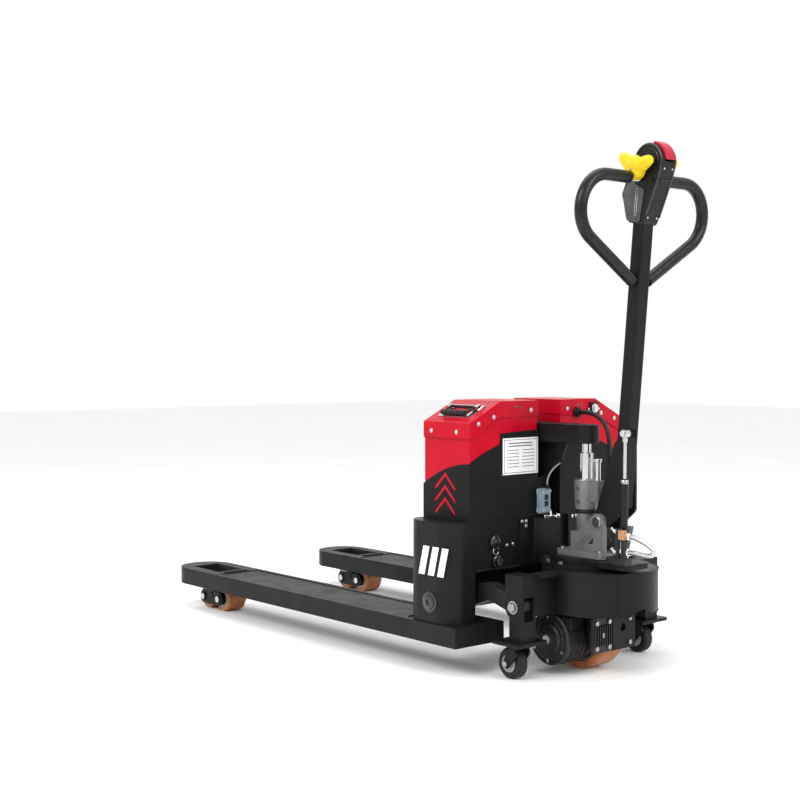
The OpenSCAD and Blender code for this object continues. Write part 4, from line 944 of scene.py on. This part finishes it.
motorLow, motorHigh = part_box("motor_housing")
motor = {"radius": 64, "grooved": 60.5, "rib": 5, "groove": 3, "wall": 3.6, "pitch": 9.2, "ribs": 5}
motorEnd = Vector(((motorLow.x + motorHigh.x) / 2, motorLow.y, (motorLow.z + motorHigh.z) / 2))
profile = [(0, 26), (1.2, 30), (1.2, 34), (4.5, 37.5), (6, 38), (6.2, 46), (8.5, 47), (8.5, 56), (6.5, 57.5),
           (7.2, 61.5), (10, motor["radius"]), (20, motor["radius"])]
along = 22
for rib in range(motor["ribs"]):
    wall = along + motor["wall"]
    profile += [(along, motor["grooved"]), (along + motor["groove"], motor["grooved"]),
                (wall, motor["radius"]), (wall + motor["rib"], motor["radius"])]
    along += motor["pitch"]
profile += [(72.2, motor["radius"]), (76, 60)]
bm = bmesh.new()
addTurned(bm, profile, motorEnd, (0, 1, 0), 72)
addBlock(bm, motorEnd + Vector((34 * mm, 14 * mm, 28 * mm)), motorEnd + Vector((66 * mm, 58 * mm, 58 * mm)))
grownPiece("motor_body", bm, "steer_unit", "castBlack", "frame_black", 0.6, 2, ["motor_housing"])
ringOf = [(math.cos(a), math.sin(a)) for a in (math.radians(30 + 60 * k) for k in range(6))]
heads("hex", "motor_bolts", [motorEnd + Vector((c * 52 * mm, 8 * mm, s * 52 * mm)) for c, s in ringOf],
      (0, -1, 0), "steer_unit", 5, 4, finish="steel")
heads("cap", "motor_plug", [motorEnd + Vector((0, 1 * mm, 0))], (0, -1, 0), "steer_unit", 11, 2.4, 8, "steel")
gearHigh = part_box("gearbox")[1]
wheelAxis = jointPlace("drive_roll")
heads("hex", "gearbox_bolts", [Vector((gearHigh.x, y * mm, z * mm)) for y in (-88, -44) for z in (72, 132)]
      + [Vector((gearHigh.x, -66 * mm, 102 * mm))], (1, 0, 0), "steer_unit", 6, 4.5, finish="steel")
bm = bmesh.new()                        # cooling fins over the casting in front of the tyre
for y in range(-96, -31, 8):
    addBlock(bm, (gearHigh.x - 2 * mm, y * mm, 78 * mm), (gearHigh.x + 5 * mm, (y + 3) * mm, 126 * mm))
grownPiece("gearbox_fins", bm, "steer_unit", "castBlack", "frame_black", 0.8)
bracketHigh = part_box("wheel_bracket")[1]
heads("hex", "bracket_bolts", [Vector((wheelAxis.x + x * mm, bracketHigh.y, wheelAxis.z + z * mm))
                               for x, z in ((-22, -8), (22, -8), (0, 24))]
      + [Vector((bracketHigh.x, 30 * mm, z * mm)) for z in (74, 132)],
      [(0, 1, 0)] * 3 + [(1, 0, 0)] * 2, "steer_unit", 6, 4.5, finish="steel")
hub = [(math.cos(a), math.sin(a)) for a in (math.radians(72 * k) for k in range(5))]
heads("cap", "hub_bolts", [wheelAxis + Vector((c * 48 * mm, s * 32 * mm, d * 48 * mm)) for s in (-1, 1)
                           for c, d in hub], [(0, s, 0) for s in (-1, 1) for k in range(5)], "drive_wheel",
      5, 4, 4, "steel")
bm = bmesh.new()                        # turned step on both faces of the tread
for side in (-1, 1):
    addTurned(bm, [(0, 74), (1.2, 76), (1.2, 79.5), (0, 81)],
              wheelAxis + Vector((0, side * 32 * mm, 0)), (0, side, 0), 96)
grownPiece("tread_steps", bm, "drive_wheel", "steel", "cast_grey")

guard = {"x": 145, "radius": 140, "foot": 150, "top": 252, "seam": -31}
seamTurn = math.radians(guard["seam"])
outward = Vector((math.cos(seamTurn), math.sin(seamTurn), 0))
seamFoot = at(guard["x"], 0, guard["foot"] + 17) + outward * (guard["radius"] * mm)
weld("weld_guard", [seamFoot, seamFoot + Vector((0, 0, (guard["top"] - guard["foot"] - 20) * mm))], "base",
     9, 2.0, 2.2)
rimArc = [math.radians(a) for a in range(-105, 106, 5)]
paths = []
for z in (guard["foot"] + 1.5, guard["top"] - 0.5):
    path = [at(guard["x"] + guard["radius"] * math.cos(a), guard["radius"] * math.sin(a), z) for a in rimArc]
    if z < guard["top"] / 2 + guard["foot"] / 2:         # the lower rim stops at the drive wheel
        path = [p for p in path if abs(p.y) > 47 * mm]
        half = len(path) // 2
        paths += [path[:half], path[half:]]
    else:
        paths.append(path)
tubePiece("guard_rims", paths, 1.8, 8, "base", "frame", "frame_black")
steerAxis = at(100, 0, 0)
topBolts = [math.radians(a) for a in (-150, -118, -86, 60, 96, 132)]
heads("hex", "turntable_bolts", [steerAxis + Vector((math.cos(a) * 98 * mm, math.sin(a) * 98 * mm,
                                                     262.4 * mm))
                                 for a in topBolts], (0, 0, 1), "steer_unit", 6.5, 5, finish="steel")
heads("cap", "flange_bolts", [at(x, y, 290) for x in (62, 182) for y in (-42, 42)], (0, 0, 1), "steer_unit",
      6, 6, 5, "steel")
turnedPiece("cylinder_ring", [
    ([(0, 25.5), (2, 27), (8, 27), (10, 24.5)], at(100, 0, 378), (0, 0, 1), 48)], "steer_unit", "rubber",
     "cast_grey")
turnedPiece("collar_lip", [
    ([(0, 18.5), (0.5, 28), (3, 29), (4.5, 27), (5, 18)], at(100, 0, 456.5), (0, 0, 1), 48)], "steer_unit",
     "steel", "cast_grey")
heads("cap", "collar_screws", [at(100, -29.6, z) for z in (408, 440)], (0, -1, 0), "steer_unit", 4, 2.4, 3,
      "steel")

# valve block: copper body, chromed unions, black foot

block = {"x": 256, "wide": 30, "foot": 332, "top": 360}
bm = bmesh.new()
addBlock(bm, at(block["x"] + 13, -78, block["foot"] + 3), at(block["x"] + block["wide"], -66,
                                                             block["top"] - 2))
grownPiece("valve_block", bm, "steer_unit", "copper", "copper", 1.0, 2, ["solenoid_valve"])
bm = bmesh.new()
addTurned(bm, [(0, 7), (12, 7), (12, 9.5), (22, 9.5), (22, 7.8), (40, 7.8)],
          at(274, -66, 292), (0, 0, 1), 32)
addTurned(bm, [(0, 8.8), (2, 9.6), (7, 9.6), (8, 8.2), (10, 7.8)],
          at(286, -66, 343), (1, 0, 0), 6)
addTurned(bm, [(0, 7.2), (2, 9.4), (7, 9.4), (8.5, 7.5)], at(283.5, -66, 307), (1, 0, 0), 6)
for z in (298, 346):                   # slanted unions on the near side
    addTurned(bm, [(0, 4.6), (8, 4.6), (8, 6.6), (14, 6.6), (14, 4), (22, 4)],
              at(262, -70, z), (-0.62, -0.35, 0.7), 6)
grownPiece("valve_unions", bm, "steer_unit", "chrome", "chrome", 0.3)
bm = bmesh.new()
addBlock(bm, at(232, -78, 274.7), at(290, -52, 292))
addBlock(bm, at(276, -77, 292), at(290, -68, 334))
addBlock(bm, at(block["x"], -76, 292), at(block["x"] + 12, -59, block["top"]))
addTurned(bm, [(0, 4.5), (13, 4.5)], at(262, -60, 353), (0, 1, 0), 24)
grownPiece("valve_foot", bm, "steer_unit", "castBlack", "frame_black", 1.6)
pipeRoute = [(296, -66, 343), (306, -66, 343), (326, -66, 338), (346, -66, 331), (361, -65, 322),
             (364, -64, 313), (355, -64, 306), (336, -65, 305), (312, -66, 307), (302, -66, 307), (292, -66,
                                                                                                   307)]
tubePiece("pipe_loop", [curvePoints([at(*p) for p in pipeRoute], 5)], 5.8, 20, "steer_unit", "zinc",
          "chrome", stands=["hydraulic_loop"])
print("power unit done")

# gas spring ends

springFoot = jointPlace("gas_swing")
springAim = Vector(next(row for row in frame["joints"] if row["name"] == "gas_stroke")["axis"]).normalized()
springFoot.y = middle("gas_cylinder").y
turnedPiece("spring_cap", [
    ([(0, 9), (1, 9.6), (9, 9.6), (10, 8), (10, 5), (12, 4.8)], springFoot + springAim * 0.1100, springAim,
     32)], "gas_cylinder", "steel", "black_plastic")
bm = bmesh.new()
rodLow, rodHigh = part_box("gas_rod")
reach = (rodHigh.z - 9 * mm - springFoot.z) / springAim.z
addTurned(bm, [(0, 6), (10, 6)], springFoot + springAim * (reach - 0.020), springAim, 6)
addTurned(bm, [(0, 5.5), (1.5, 7.2), (5, 7.2)], Vector((0, rodLow.y - 0.1 * mm, 0))
          + springFoot + springAim * reach - Vector((0, springFoot.y, 0)), (0, -1, 0), 6)
grownPiece("spring_nut", bm, "gas_rod", "chrome", "zinc", 0.3)

# casters, rollers and post bolts

for side, name in ((-1, "left"), (1, "right")):
    hubAt = jointPlace("caster_roll_" + name)
    bm = bmesh.new()
    for face in (-1, 1):
        addTurned(bm, [(0, 7.5), (0.8, 21), (1.6, 21), (2.2, 19), (1.2, 17),
                       (1.2, 9.5), (2.6, 8)], hubAt + Vector((0, face * 14.6 * mm, 0)),
                  (0, face, 0), 40)
    grownPiece("caster_hub_" + name, bm, "caster_wheel_" + name, "grey", "black_rubber")
    heads("hex", "caster_nuts_" + name, [hubAt + Vector((0, face * 25 * mm, 0)) for face in (-1, 1)],
          [(0, face, 0) for face in (-1, 1)], "caster_" + name, 8, 5, finish="steel")
    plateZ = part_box("caster_fork_" + name)[1].z
    heads("hex", "caster_stem_" + name, [Vector((heel + 95 * mm, side * 227 * mm, plateZ))], (0, 0, 1),
          "caster_" + name, 10, 6, finish="steel")
for number in range(1, 5):
    centre = middle("load_roller_%d" % number)
    bm = bmesh.new()
    for face in (-1, 1):
        addTurned(bm, [(0, 10.2), (0.2, 25.5), (0.7, 25), (0.7, 19), (0.3, 18),
                       (0.3, 10.4)], centre + Vector((0, face * 29.9 * mm, 0)), (0, face, 0), 40)
    grownPiece("roller_hub_%d" % number, bm, "load_roller_%d" % number, "steel", "polyurethane")
axles, facing = [], []
for number in range(1, 5):
    hubAt = jointPlace("load_roll_%d" % number)
    for face in (-1, 1):
        axles.append(hubAt + Vector((0, face * 46.8 * mm, 0)))
        facing.append((0, face, 0))
heads("cap", "axle_heads", axles, facing, "bogies", 9, 2.5, 7, "zinc")
rocker = at(94, 0, 172)
bm = bmesh.new()
for side in (-1, 1):
    face = rocker + Vector((0, side * 245.2 * mm, 0))
    addTurned(bm, [(0, 15), (0.6, 16), (2.2, 16), (2.6, 15)], face, (0, side, 0), 40)
    addTurned(bm, [(2, 11.8), (3.5, 12.5), (8.5, 12), (9.8, 9.5)], face, (0, side, 0), 6)
    addTurned(bm, [(0, 11.9), (7.6, 11.9)], rocker + Vector((0, side * 237.2 * mm, 0)), (0, side, 0), 40)
grownPiece("post_bolts", bm, "base", "steel", "zinc", 0.4, stands=["pivot_bolts"])
print("wheels and bolts done")
